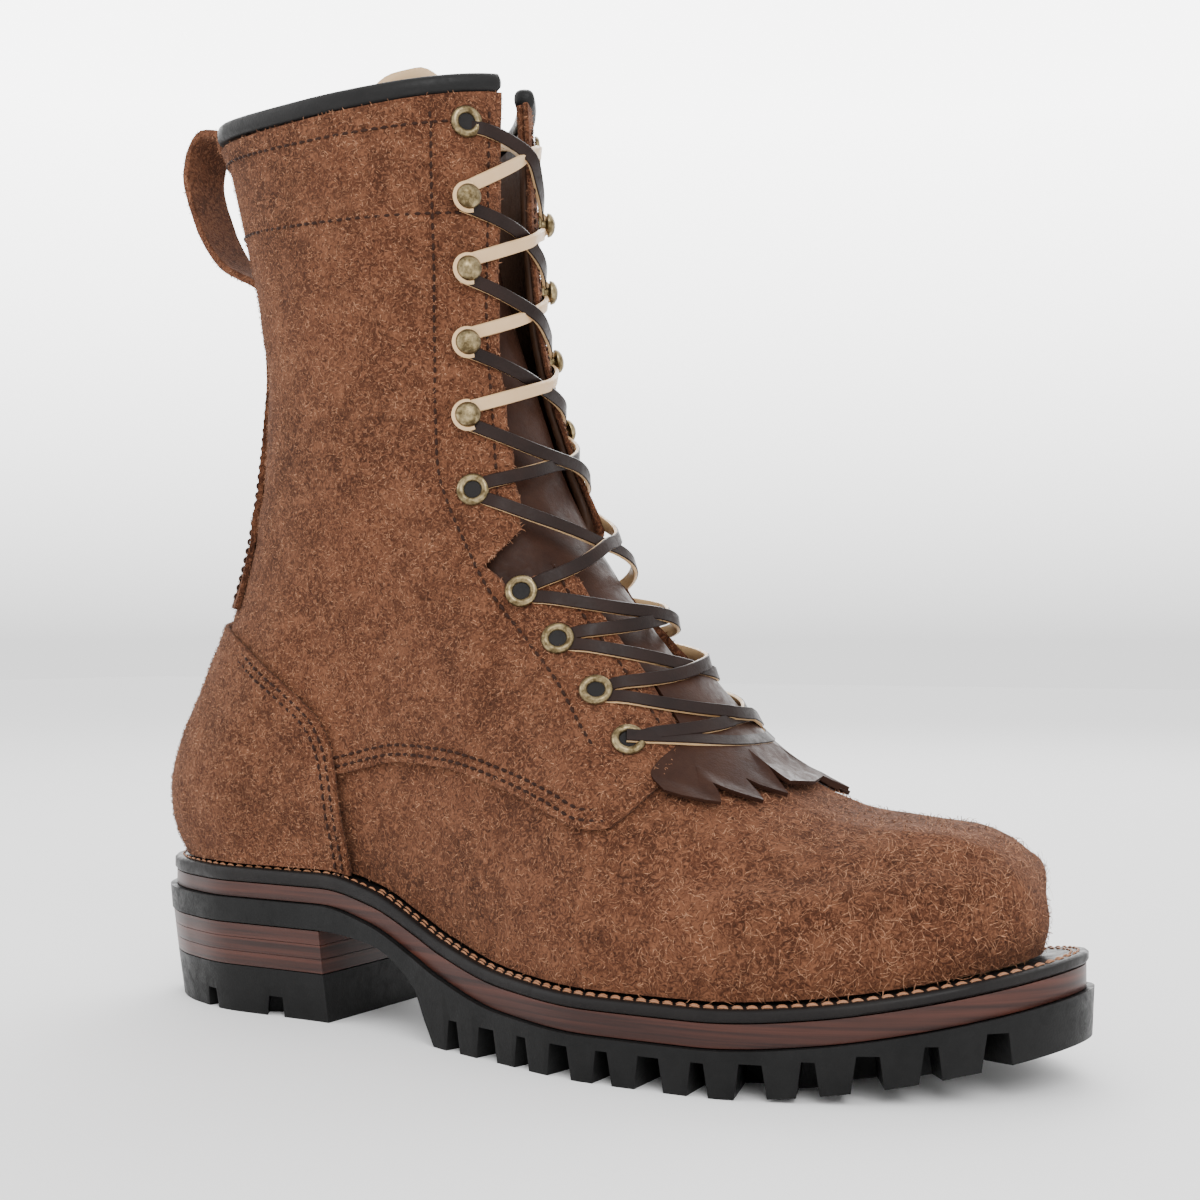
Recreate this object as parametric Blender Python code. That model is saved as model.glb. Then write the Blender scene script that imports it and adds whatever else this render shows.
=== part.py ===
"""Right logger boot with stacked heel, hollow suede upper, kiltie, hooks and leather lace.

Lengths are in millimetres and are scaled to metres where a mesh is made. +Z is up, the toe
points along +X and the outer (lateral) side of the foot is along -Y. The boot stands on z = 0.
"""
import functools
import math

import bmesh
import bpy
import numpy as np

MM = 0.001

# Driving sizes of the sole
LENGTH = 312.0            # outsole, heel to toe
BALL_WIDTH = 114.0        # outsole across the ball
HEEL_LENGTH = 84.0        # back of the sole to the heel breast
HEEL_RISE = 29.0          # floor to the rubber heel base
TOP_LIFT = 15.0           # rubber lift that touches the floor
LUG_DEPTH = 9.0           # forefoot lugs
SIDE_NOTCHES = 12         # notches along each side of the forefoot
NOTCH_START = 0.455       # place of the first one, as a share of the length
NOTCH_STEP = 0.045        # from one to the next, as a share of the length
SHORT_NOTCH = (5.0, 13.0)  # width and reach of every other notch
LONG_NOTCH = (7.5, 20.0)  # width and reach of those between
TOE_SPRING = 13.0         # lift of the tread at the toe tip
HEEL_TAPER = 4.5          # how far the heel draws in at the floor
MIDSOLE_STEP = 2.0        # midsole edge inside the outsole edge
WELT_STEP = 1.4           # welt edge inside the outsole edge
WELT_BAND = 15.0          # width of the welt strip
INSOLE_RISE = 2.6         # insole top above the welt

# Driving sizes of the upper
SHAFT_RISE = 249.0        # heel seat to the line over the collar that heights are shares of
COLLAR_DIP = 6.0          # how far the collar sinks at its sides
BACK_SIDE = 6.0           # place of the shaft's back, towards the outer side
HEEL_CUP_WIDTH = 62.0
ANKLE_WIDTH = 69.0
COLLAR_WIDTH = 85.0
WALL = 2.2                # vamp and lining
QUARTER_WALL = 1.6        # outer suede of the shaft
COUNTER_WALL = 1.6        # overlay round the heel
BACKSTAY_WALL = 1.6
BACKSTAY_WIDTH = 17.0     # at the pull loop
BACKSTAY_FOOT = 32.0      # at the counter
BACKSTAY_ROOM = 0.4       # clearance of the backstay, whose facets differ from the quarters'
BINDING_HEIGHT = 6.2
BINDING_WIDTH = 6.4
BINDING_END = 15.0        # angle from the front at which the binding starts and ends
TONGUE_WALL = 2.0
TONGUE_LEAN = 16.0        # how far its top leans back into the shaft
TONGUE_STEPS = 6          # side steps from the tongue's middle to its edge
TONGUE_ROOM = 0.9         # space between tongue and facings
KILTIE_WALL = 1.3
KILTIE_ROOM = 1.10        # space between kiltie and vamp's coarser facets
LOOP_WALL = 2.2
LOOP_REACH = 21.0         # how far the pull loop stands behind the shaft

# Driving sizes of the hardware and the lace
EYELET_RADIUS = 5.0
EYELET_BORE = 2.5
EYELET_HEIGHT = 1.0
EYELET_ROOM = 0.85        # clearance of flat eyelets and hooks on the hollow of the ankle
HOOK_RADIUS = 3.8
HOOK_HEIGHT = 5.4
LACE_WIDTH = 4.0
LACE_THICKNESS = 1.6
LACE_LIFT = 4.6           # lace centre above the vamp's outer face
LACE_PARTING = 0.008      # how far two strands part at one eyelet, as a share of the levels

GAP = 0.3                 # clearance between touching pieces
SOLE_STATIONS = 36        # cross sections from heel to toe in each layer of the sole
SEAT_ROOM = 0.55          # clearance of flat pieces on curved ones
FEATHER_ROOM = 1.05       # clearance of the upper over the sloping welt
LEVEL_STEPS = 16          # steps from feather line to collar, shared by all skins of the upper
SIDE_STEPS = 18           # steps from front to back on one side of the upper

QUARTER_OUT = GAP + QUARTER_WALL
COUNTER_IN = QUARTER_OUT + GAP
COUNTER_OUT = COUNTER_IN + COUNTER_WALL
BACKSTAY_OUT = QUARTER_OUT + BACKSTAY_ROOM + BACKSTAY_WALL

# Outline of the outsole: share of the length, lateral and medial half widths as shares of the ball width
OUTLINE = np.array([
    (0.00, 0.000, 0.000),
    (0.03, 0.175, 0.175),
    (0.08, 0.262, 0.262),
    (0.15, 0.312, 0.318),
    (0.25, 0.312, 0.316),
    (0.38, 0.350, 0.285),
    (0.50, 0.430, 0.345),
    (0.62, 0.500, 0.450),
    (0.72, 0.492, 0.500),
    (0.82, 0.420, 0.470),
    (0.90, 0.310, 0.400),
    (0.96, 0.180, 0.290),
    (1.00, -0.060, 0.060),
])

# Heights along the sole: share of the length, then shares of the heel rise for the underside of
# the outsole, its top, the midsole's top and the welt's top, all without toe spring
LAYERS = np.array([
    (0.00, 1.000, 1.270, 1.440, 1.600),
    (0.27, 1.000, 1.270, 1.440, 1.600),
    (0.34, 0.930, 1.130, 1.310, 1.470),
    (0.40, 0.560, 0.860, 1.060, 1.200),
    (0.43, 0.000, 0.720, 0.930, 1.070),
    (0.52, 0.000, 0.480, 0.710, 0.840),
    (0.62, 0.000, 0.430, 0.660, 0.780),
    (0.75, 0.000, 0.430, 0.660, 0.780),
    (1.00, 0.000, 0.450, 0.680, 0.800),
])
SPRING_START = 0.72

# Welt ledge left free outside the upper: share of the length and width in shares of the ball width
LEDGE = np.array([
    (0.00, 0.085),
    (0.25, 0.070),
    (0.50, 0.062),
    (0.75, 0.062),
    (0.92, 0.075),
    (1.00, 0.082),
])

# Upper levels from feather line to collar. Back and front points in side view: x as a share of
# half the length, height as a share of the shaft rise above the heel seat or toe seat. Then the
# share of the shaft's oval in the level's shape, and how far it follows the sole's waist.
LEVELS = np.array([
    (-0.930, 0.000, 0.913, 0.000, 0.00, 1.00),
    (-0.954, 0.030, 0.923, 0.030, 0.00, 0.94),
    (-0.968, 0.062, 0.908, 0.067, 0.00, 0.84),
    (-0.970, 0.090, 0.875, 0.098, 0.00, 0.70),
    (-0.962, 0.114, 0.826, 0.119, 0.00, 0.55),
    (-0.950, 0.134, 0.754, 0.131, 0.00, 0.40),
    (-0.934, 0.158, 0.662, 0.135, 0.00, 0.28),
    (-0.914, 0.182, 0.564, 0.140, 0.00, 0.18),
    (-0.890, 0.210, 0.468, 0.160, 0.02, 0.10),
    (-0.865, 0.242, 0.372, 0.201, 0.10, 0.05),
    (-0.830, 0.282, 0.280, 0.254, 0.24, 0.00),
    (-0.795, 0.326, 0.200, 0.310, 0.40, 0.00),
    (-0.760, 0.374, 0.125, 0.363, 0.57, 0.00),
    (-0.728, 0.426, 0.055, 0.415, 0.74, 0.00),
    (-0.702, 0.482, -0.008, 0.467, 0.88, 0.00),
    (-0.684, 0.545, -0.058, 0.532, 0.97, 0.00),
    (-0.677, 0.622, -0.090, 0.617, 1.00, 0.00),
    (-0.692, 0.710, -0.104, 0.709, 1.00, 0.00),
    (-0.727, 0.806, -0.106, 0.809, 1.00, 0.00),
    (-0.767, 0.902, -0.108, 0.908, 1.00, 0.00),
    (-0.800, 0.937, -0.112, 0.966, 1.00, 0.00),
])

# The shaft's front: level, its place towards the inner side in mm, and the power of its rounding,
# blunt below 0.95 and pointed above
SHAFT_FRONT = np.array([
    (0.50, 3.0, 0.80),
    (0.60, 5.0, 0.70),
    (0.70, 7.0, 0.65),
    (0.76, 5.0, 0.75),
    (0.81, 1.5, 0.95),
    (0.86, -1.5, 1.10),
    (0.93, -3.0, 1.25),
    (1.00, -3.5, 1.30),
])
OVAL_POWER = 0.95         # rounding of the shaft's back half

# Sideways place of the ridge: x as a share of half the length, and mm towards the inner side
RIDGE = np.array([(-1.0, 0.0), (-0.10, -3.0), (0.10, 1.0), (0.35, 5.0), (0.65, 7.0), (0.95, 7.0)])

# Throat: level, then its edges in mm to the outer and the inner side of the front's middle
THROAT = np.array([
    (0.418, 36.0, 30.0),
    (0.440, 30.5, 26.0),
    (0.468, 26.0, 21.0),
    (0.500, 23.5, 18.5),
    (0.540, 21.0, 17.5),
    (0.590, 20.0, 17.5),
    (0.636, 19.5, 18.0),
    (0.650, 23.0, 19.0),
    (0.658, 33.0, 24.0),
    (0.684, 35.0, 26.0),
    (0.696, 26.0, 19.0),
    (0.724, 22.5, 18.0),
    (0.764, 18.5, 16.0),
    (0.800, 15.0, 13.0),
    (0.860, 11.5, 8.5),
    (0.924, 9.5, 5.5),
    (1.020, 7.5, 5.0),
])

# The vamp's own throat ends in a narrower tongue slit, hidden by the kiltie
VAMP_THROAT = np.vstack([[(0.430, 9.0, 8.0), (0.455, 19.0, 15.0)], THROAT[THROAT[:, 0] > 0.49]])
VAMP_MARGIN = 0.8         # how much further back the vamp's edge lies than the facings'

# Lacing pairs from toe to collar: level, angle from the front of the section, kind
LACING = (
    (0.452, 39.5, "eyelet"),
    (0.500, 40.5, "eyelet"),
    (0.552, 44.5, "eyelet"),
    (0.604, 48.0, "eyelet"),
    (0.716, 46.5, "eyelet"),
    (0.776, 41.0, "hook"),
    (0.825, 37.0, "hook"),
    (0.871, 34.5, "hook"),
    (0.913, 33.5, "hook"),
    (0.966, 32.0, "eyelet"),
)

# Route of the free lace end, in mm: from behind the top inner eyelet over the collar and down inside
LACE_END = (
    (-33.0, 15.5, 280.0), (-42.0, 21.0, 283.0), (-52.0, 26.0, 290.0), (-62.0, 29.5, 300.0),
    (-72.0, 31.0, 310.0), (-82.0, 31.5, 316.0), (-92.0, 30.0, 315.0), (-100.0, 27.0, 308.0),
    (-104.0, 23.0, 296.0), (-104.0, 20.0, 282.0), (-101.0, 18.5, 266.0), (-97.0, 18.0, 250.0),
)
LACE_END_RADIUS = 1.7

# False tongue: level at its side edge, angle of that edge, and how much higher its middle lies
KILTIE = (
    (0.520, 22.0, 0.000),
    (0.490, 22.5, 0.000),
    (0.462, 23.0, 0.006),
    (0.436, 28.0, 0.014),
    (0.410, 35.0, 0.022),
    (0.385, 40.0, 0.028),
)
KILTIE_COLUMNS = 13
KILTIE_TOOTH = 0.024      # depth of the fringe, as a share of the levels

# Side-view seams, x as a share of half the length and height as a share of the shaft rise
QUARTER_SEAM = (
    (-0.62, 0.098), (-0.42, 0.124), (-0.26, 0.143), (-0.14, 0.139), (0.00, 0.120), (0.10, 0.101),
    (0.185, 0.082), (0.232, 0.081), (0.285, 0.112), (0.308, 0.140), (0.300, 0.178), (0.272, 0.205),
)
COUNTER_SEAM = (
    (-0.86, 0.322), (-0.80, 0.312), (-0.70, 0.292), (-0.62, 0.265), (-0.53, 0.228), (-0.46, 0.190),
    (-0.43, 0.150), (-0.412, 0.094), (-0.398, 0.030), (-0.385, -0.04),
)


def clear_scene():
    for thing in list(bpy.data.objects):
        bpy.data.objects.remove(thing, do_unlink=True)


def material(name, colour, roughness, metallic=0.0):
    made = bpy.data.materials.new(name)
    made.use_nodes = True
    shader = made.node_tree.nodes["Principled BSDF"]
    shader.inputs["Base Color"].default_value = (*colour, 1.0)
    shader.inputs["Roughness"].default_value = roughness
    shader.inputs["Metallic"].default_value = metallic
    return made


def curve_through(x, xs, ys):
    """Smooth curve through a table that never overshoots between two rows."""
    x = np.clip(np.asarray(x, float), xs[0], xs[-1])
    step = np.diff(xs)
    slope = np.diff(ys) / step
    tangent = np.zeros(len(xs))
    tangent[0], tangent[-1] = slope[0], slope[-1]
    inner = slope[:-1] * slope[1:] > 0
    before, after = slope[:-1][inner], slope[1:][inner]
    tangent[1:-1][inner] = 2 * before * after / (before + after)
    k = np.clip(np.searchsorted(xs, x, side="right") - 1, 0, len(xs) - 2)
    h, t = step[k], (x - xs[k]) / step[k]
    return (
        (1 + 2 * t) * (1 - t) ** 2 * ys[k]
        + t * (1 - t) ** 2 * h * tangent[k]
        + t * t * (3 - 2 * t) * ys[k + 1]
        + t * t * (t - 1) * h * tangent[k + 1]
    )


def ease(x):
    x = np.clip(x, 0.0, 1.0)
    return x * x * (3 - 2 * x)


def turn_of(share):
    """Angle on a half turn from heel to toe whose cosine gives this share of the length."""
    return np.arccos(np.clip(1 - 2 * np.asarray(share, float), -1, 1))


def half_width(share, side):
    """Outsole half width; side is -1 for lateral and 1 for medial."""
    column = 1 if side < 0 else 2
    return curve_through(turn_of(share), turn_of(OUTLINE[:, 0]), OUTLINE[:, column]) * BALL_WIDTH


def layer(share, column):
    """Height of one layer of the sole, toe spring included."""
    flat = curve_through(share, LAYERS[:, 0], LAYERS[:, column]) * HEEL_RISE
    return flat + TOE_SPRING * np.clip((share - SPRING_START) / (1 - SPRING_START), 0, 1) ** 1.8


def outline_point(share, side, inset):
    """Point of the outline drawn in by an inset, in plan."""
    ends = np.sin(turn_of(share)) ** 0.5
    x = -LENGTH / 2 + inset + share * (LENGTH - 2 * inset)
    return x, side * (half_width(share, side) - inset * ends)


def make_object(name, points, faces, finish, smooth=40.0):
    """Object from points in mm, with doubled points merged and its faces turned outwards."""
    mesh = bpy.data.meshes.new(name)
    mesh.from_pydata([tuple(float(c) * MM for c in p) for p in points], [], faces)
    work = bmesh.new()
    work.from_mesh(mesh)
    bmesh.ops.remove_doubles(work, verts=work.verts, dist=1e-6)
    bmesh.ops.dissolve_degenerate(work, edges=work.edges, dist=1e-7)
    bmesh.ops.recalc_face_normals(work, faces=work.faces)
    bmesh.ops.triangulate(work, faces=[f for f in work.faces if len(f.verts) > 3])
    work.to_mesh(mesh)
    work.free()
    made = bpy.data.objects.new(name, mesh)
    bpy.context.collection.objects.link(made)
    mesh.materials.append(finish)
    mesh.shade_smooth()
    mesh.set_sharp_from_angle(angle=math.radians(smooth))
    return made


def cutter(name, points, faces):
    made = make_object(name, points, faces, bpy.data.materials["Cutter"])
    made.hide_render = True
    made.display_type = "WIRE"
    return made


def boolean(target, tool, operation="DIFFERENCE"):
    step = target.modifiers.new(operation.title(), "BOOLEAN")
    step.operation = operation
    step.solver = "EXACT"
    step.object = tool
    return step


def joined_loops(loops, closed=False):
    """Faces that join equal closed loops one after another, and the last to the first if closed."""
    count = len(loops[0])
    faces = []
    for i in range(len(loops) if closed else len(loops) - 1):
        a, b = i * count, (i + 1) % len(loops) * count
        for j in range(count):
            k = (j + 1) % count
            faces.append((a + j, a + k, b + k, b + j))
    return faces


def slab(name, finish, low, high, shares, inset_low, inset_high):
    """Plate of the sole between two heights, with its own inset at each."""
    shares = np.asarray(shares)
    points = []
    for height, inset in ((low, inset_low), (high, inset_high)):
        for side in (-1, 1):
            for share in shares:
                x, y = outline_point(share, side, inset)
                points.append((x, y, height((x + LENGTH / 2) / LENGTH)))
    n = len(shares)
    faces = []
    for i in range(n - 1):
        faces.append((i, i + 1, n + i + 1, n + i))
        faces.append((2 * n + i, 2 * n + i + 1, 3 * n + i + 1, 3 * n + i))
        faces.append((i, i + 1, 2 * n + i + 1, 2 * n + i))
        faces.append((n + i, n + i + 1, 3 * n + i + 1, 3 * n + i))
    for i in (0, n - 1):
        faces.append((i, n + i, 3 * n + i, 2 * n + i))
    return make_object(name, points, faces, finish)


def stations(start, stop, count):
    """Shares of the length, closer together at round ends."""
    turns = np.linspace(turn_of(start), turn_of(stop), count)
    return (1 - np.cos(turns)) / 2


BOX_FACES = ((0, 1, 3, 2), (4, 6, 7, 5), (0, 4, 5, 1), (2, 3, 7, 6), (0, 2, 6, 4), (1, 5, 7, 3))


def notch_cutter(name, notches):
    """Wedge notches that open downwards and outwards: place, outward direction, widths, depth, top."""
    points, faces = [], []
    for place, out, wide_low, wide_high, reach, low, high in notches:
        out = np.array((*out, 0.0))
        along = np.array((-out[1], out[0], 0.0))
        start = len(points)
        for height, wide in ((low, wide_low), (high, wide_high)):
            for distance in (-reach, 6.0):
                for side in (-1, 1):
                    points.append(np.array((*place, height)) + out * distance + along * side * wide / 2)
        faces += [tuple(start + k for k in face) for face in BOX_FACES]
    return cutter(name, points, faces)


def make_outsole(finish):
    under = lambda share: layer(share, 1)
    top = lambda share: layer(share, 2) - GAP / 2
    sole = slab("outsole", finish, under, top, stations(0, 1, SOLE_STATIONS), 0.6, 0.0)
    notches = []
    for side in (-1, 1):
        for k in range(SIDE_NOTCHES):
            share = NOTCH_START + NOTCH_STEP * k
            x, y = outline_point(share, side, 0.0)
            x_ahead, y_ahead = outline_point(share + 0.002, side, 0.0)
            out = np.array((y - y_ahead, x_ahead - x))
            out *= side * np.sign(out[1]) / np.hypot(*out)
            wide, reach = LONG_NOTCH if k % 2 else SHORT_NOTCH
            lift = float(layer(share, 1))
            notches.append(((x, y), out, wide + 2.5, wide - 1.5, reach, lift - 5.0, lift + LUG_DEPTH))
    for k in range(5):
        share = 0.50 + 0.085 * k
        x = -LENGTH / 2 + share * LENGTH
        notches.append(((x, 8.0), (0.0, 1.0), 7.0, 5.0, 16.0, -5.0, LUG_DEPTH * 0.7))
    boolean(sole, notch_cutter("tread_cutter", notches))
    return sole


def make_heel(leather, rubber):
    breast = HEEL_LENGTH / LENGTH
    shares = stations(0, breast, 15)
    level = lambda value: (lambda share: value + 0 * share)
    lift_inset = HEEL_TAPER * (1 - TOP_LIFT / HEEL_RISE) + 0.4
    slab("heel_stack", leather, level(TOP_LIFT + GAP), level(HEEL_RISE - GAP), shares, lift_inset, 1.0)
    lift = slab("top_lift", rubber, level(0.0), level(TOP_LIFT), shares, HEEL_TAPER, lift_inset)
    notches = []
    for share, side in ((0.02, -1), (0.02, 1), (0.11, -1), (0.11, 1), (0.20, -1), (0.20, 1)):
        x, y = outline_point(share, side, HEEL_TAPER)
        out = np.array((x + LENGTH * 0.36, y))
        out /= np.hypot(*out)
        notches.append(((x, y), out, 6.0, 4.5, 7.0, -2.0, TOP_LIFT * 0.42))
    boolean(lift, notch_cutter("lift_cutter", notches))


def make_midsole(finish):
    low = lambda share: layer(share, 2) + GAP / 2
    high = lambda share: layer(share, 3) - GAP / 2
    slab("midsole", finish, low, high, stations(0, 1, SOLE_STATIONS), MIDSOLE_STEP, MIDSOLE_STEP)


def make_welt(finish):
    """Strip along the edge, open in the middle where the insole lies."""
    shares = stations(0, 1, SOLE_STATIONS)
    turn = [(share, -1) for share in shares] + [(share, 1) for share in shares[-2:0:-1]]
    loops = []
    for inset, column, shift in (
        (WELT_STEP, 3, GAP / 2), (WELT_STEP, 4, 0.0),
        (WELT_STEP + WELT_BAND, 4, 0.0), (WELT_STEP + WELT_BAND, 3, GAP / 2),
    ):
        loop = []
        for share, side in turn:
            x, y = outline_point(share, side, inset)
            loop.append((x, y, layer((x + LENGTH / 2) / LENGTH, column) + shift))
        loops.append(loop)
    make_object("welt", [p for loop in loops for p in loop], joined_loops(loops, closed=True), finish)


def make_insole(finish):
    inset = WELT_STEP + WELT_BAND + GAP
    low = lambda share: layer(share, 3) + SEAT_ROOM
    high = lambda share: layer(share, 4) + INSOLE_RISE
    slab("insole", finish, low, high, stations(0, 1, SOLE_STATIONS), inset, inset)


@functools.lru_cache(maxsize=None)
def level_of(t):
    """Back point, front point, oval share and waist share of a level, t from 0 to 1."""
    marks = np.linspace(0, 1, len(LEVELS))
    values = [curve_through(t, marks, LEVELS[:, c]) for c in range(6)]
    heel_seat = layer(0.0, 4) + FEATHER_ROOM
    toe_seat = layer(0.97, 4) + FEATHER_ROOM
    back = (values[0] * LENGTH / 2, heel_seat + values[1] * SHAFT_RISE)
    top = heel_seat + SHAFT_RISE
    front = (values[2] * LENGTH / 2, toe_seat + values[3] * (top - toe_seat))
    return back, front, values[4], values[5]


@functools.lru_cache(maxsize=None)
def front_profile():
    """Front profile from the instep down to the toe, as x and height."""
    marks = np.linspace(0, 1, len(LEVELS))[1:16]
    fronts = [level_of(float(mark))[1] for mark in marks]
    return np.array([float(f[0]) for f in fronts])[::-1], np.array([float(f[1]) for f in fronts])[::-1]


def ridge_height(x):
    """Height of the front profile over x, very high behind the instep."""
    xs, zs = front_profile()
    height = curve_through(x, xs, zs)
    return height + np.clip(xs[0] - x, 0, 400) * 12


@functools.lru_cache(maxsize=None)
def base_point(t, angle):
    """Point of the vamp and lining's outer face. Angle is in degrees from the front, lateral negative."""
    t = float(t)
    back, front, oval, waist = level_of(t)
    side = -1 if angle < 0 else 1
    turn = math.radians(180 - abs(angle))
    sideways = 0 if angle == 0 else side
    u = (1 - math.cos(turn)) / 2
    x = back[0] + u * (front[0] - back[0])
    z = back[1] + u * (front[1] - back[1])
    first_back, first_front = level_of(0.0)[:2]
    along = np.clip((x + LENGTH / 2) / LENGTH, 0, 1)
    seat = layer(along, 4) + FEATHER_ROOM
    straight = first_back[1] + (x - first_back[0]) / (first_front[0] - first_back[0]) * (
        first_front[1] - first_back[1]
    )
    z = z + waist * (seat - straight) - COLLAR_DIP * ease((t - 0.8) / 0.2) * math.sin(turn) ** 2
    reach = front[0] + ease((t - 0.05) / 0.1) * max(level_of(0.05)[1][0] - front[0], 0.0)
    share = np.clip((x - back[0]) / (reach - back[0]), 0, 1)
    ledge = curve_through(share, LEDGE[:, 0], LEDGE[:, 1]) * BALL_WIDTH
    foot = half_width(share, side) - ledge * np.sin(turn_of(share))
    rise = ease((z - seat) / 20.0)
    heelward = 1 - ease((share - 0.15) / 0.3)
    foot = foot * (1 + rise * (0.02 + heelward * (HEEL_CUP_WIDTH / BALL_WIDTH - 0.44)))
    height = np.clip((z - seat) / max(float(ridge_height(x)) - seat, 1.0), 0, 1)
    height = height * ease((t - 0.05) / 0.12)
    arch = (1 - height ** (2.3 + 1.6 * ease((x / LENGTH - 0.15) / 0.25))) ** 0.5
    up = (z - first_back[1]) / SHAFT_RISE
    shaft = curve_through(
        up, np.array([0.0, 0.2, 0.5, 0.68, 0.85, 1.0]),
        np.array([HEEL_CUP_WIDTH, HEEL_CUP_WIDTH, ANKLE_WIDTH, ANKLE_WIDTH * 1.06,
                  0.35 * ANKLE_WIDTH * 1.06 + 0.65 * COLLAR_WIDTH, COLLAR_WIDTH]) / 2,
    )
    front_side, power = (curve_through(t, SHAFT_FRONT[:, 0], SHAFT_FRONT[:, c]) for c in (1, 2))
    power = OVAL_POWER + (power - OVAL_POWER) * ease((u - 0.4) / 0.3)
    wide = (1 - oval) * foot * arch + oval * shaft * math.sin(turn) ** power
    ridge = curve_through(x / (LENGTH / 2), RIDGE[:, 0], RIDGE[:, 1]) + front_side
    lean = np.clip(height ** 2 * (1 - oval) + oval * u * u, 0, 1)
    middle = ridge * lean - BACK_SIDE * oval * (1 - u) ** 2
    return np.array((float(x), float(sideways * wide + middle), float(z)))


def upper_point(t, angle, out=0.0):
    """Point of the upper's form, moved outwards along its normal, level at the feather line."""
    place = base_point(t, angle)
    if out == 0.0:
        return place
    dt, da = 0.012, 2.5
    up = base_point(min(t + dt, 1.0), angle) - base_point(max(t - dt, 0.0), angle)
    turned = []
    for shifted in (angle + da, angle - da):
        shifted = shifted - 360 if shifted > 180 else shifted + 360 if shifted < -180 else shifted
        turned.append(base_point(t, shifted))
    normal = np.cross(turned[0] - turned[1], up)
    normal[2] *= ease(t / 0.10)
    return place + out * normal / np.linalg.norm(normal)


def angles_round(count=SIDE_STEPS):
    """Angles once round the upper, from the front over the medial side to the back."""
    one = np.linspace(0, 180, count + 1)
    return [*one, *(-one[-2:0:-1])]


def levels_between(low, high):
    """Levels on the shared steps, so that skins on each other keep an even clearance."""
    first, last = round(low * LEVEL_STEPS), round(high * LEVEL_STEPS)
    return [k / LEVEL_STEPS for k in range(first, last + 1)]


def shell(name, finish, inner, outer, low, high):
    """Closed band of the upper's form between two offsets and two levels."""
    loops = []
    turn = angles_round()
    rows = levels_between(low, high)
    for out, order in ((outer, rows), (inner, rows[::-1])):
        for t in order:
            loops.append([upper_point(t, angle, out) for angle in turn])
    return make_object(name, [p for loop in loops for p in loop], joined_loops(loops, closed=True), finish)


def patch(name, finish, rows, angle_rows, inner, outer):
    """Closed sheet over chosen levels and angles. Offsets are functions of the row's place."""
    points = []
    n, m = len(rows), len(angle_rows[0])
    for offset in (outer, inner):
        for i in range(n):
            for j in range(m):
                t = rows[i][j] if np.ndim(rows[i]) else rows[i]
                points.append(upper_point(t, angle_rows[i][j], offset(t)))
    faces = []
    for i in range(n - 1):
        for j in range(m - 1):
            a = i * m + j
            faces.append((a, a + 1, a + m + 1, a + m))
            b = a + n * m
            faces.append((b, b + 1, b + m + 1, b + m))
    rim = [j for j in range(m)] + [i * m + m - 1 for i in range(1, n)]
    rim += [(n - 1) * m + j for j in range(m - 2, -1, -1)] + [i * m for i in range(n - 2, 0, -1)]
    for k, a in enumerate(rim):
        b = rim[(k + 1) % len(rim)]
        faces.append((a, b, b + n * m, a + n * m))
    return make_object(name, points, faces, finish)


def throat_cutter(name, rows, extra):
    """Solid along the front profile that opens the throat, wider by an extra margin."""
    points = []
    for t, outer, inner in rows:
        front = upper_point(min(t, 1.0), 0.0)
        step = upper_point(min(t, 1.0), 0.0) - upper_point(min(t, 1.0) - 0.02, 0.0)
        step /= np.linalg.norm(step)
        out = np.array((step[2], 0.0, -step[0]))
        front = front + step * max(t - 1.0, 0.0) * SHAFT_RISE * 2
        for distance in (-24.0, 24.0):
            for side in (-1, 1):
                reach = (outer if side < 0 else inner) + extra
                point = front + out * distance
                points.append((point[0], front[1] + side * reach, point[2]))
    count = len(rows)
    order = (0, 1, 3, 2)
    faces = []
    for i in range(count - 1):
        for k in range(4):
            a, b = order[k], order[(k + 1) % 4]
            faces.append((4 * i + a, 4 * i + b, 4 * i + 4 + b, 4 * i + 4 + a))
    faces.append(tuple(order))
    faces.append(tuple(4 * count - 4 + k for k in order))
    return cutter(name, points, faces)


def side_prism(name, outline, reach=90.0):
    """Prism across the boot from a side-view outline in mm."""
    n = len(outline)
    points = [(x, y, z) for y in (-reach, reach) for x, z in outline]
    faces = [(k, (k + 1) % n, n + (k + 1) % n, n + k) for k in range(n)]
    faces += [tuple(range(n)), tuple(range(2 * n - 1, n - 1, -1))]
    return cutter(name, points, faces)


def seam_points(seam):
    seat = float(layer(0.0, 4))
    return [(x * LENGTH / 2, seat + up * SHAFT_RISE) for x, up in seam]


def make_upper(suede):
    upper = shell("upper", suede, -WALL, 0.0, 0.0, 1.0)
    boolean(upper, throat_cutter("vamp_cutter", VAMP_THROAT, VAMP_MARGIN))

    top = float(layer(0.0, 4)) + SHAFT_RISE * 1.1
    quarter = shell("quarters", suede, GAP, QUARTER_OUT, 0.10, 1.0)
    seam = seam_points(QUARTER_SEAM)
    outline = seam + [(seam[-1][0] + 40, seam[-1][1] + 25), (60, top), (-200, top), (-200, seam[0][1])]
    boolean(quarter, side_prism("quarter_cutter", outline), "INTERSECT")
    boolean(quarter, throat_cutter("facing_cutter", THROAT, 0.0))

    counter = shell("counter", suede, COUNTER_IN, COUNTER_OUT, 0.0, 0.65)
    edge = seam_points(COUNTER_SEAM)
    outline = edge + [(-220, edge[-1][1]), (-220, edge[0][1])]
    boolean(counter, side_prism("counter_cutter", outline), "INTERSECT")


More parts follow.
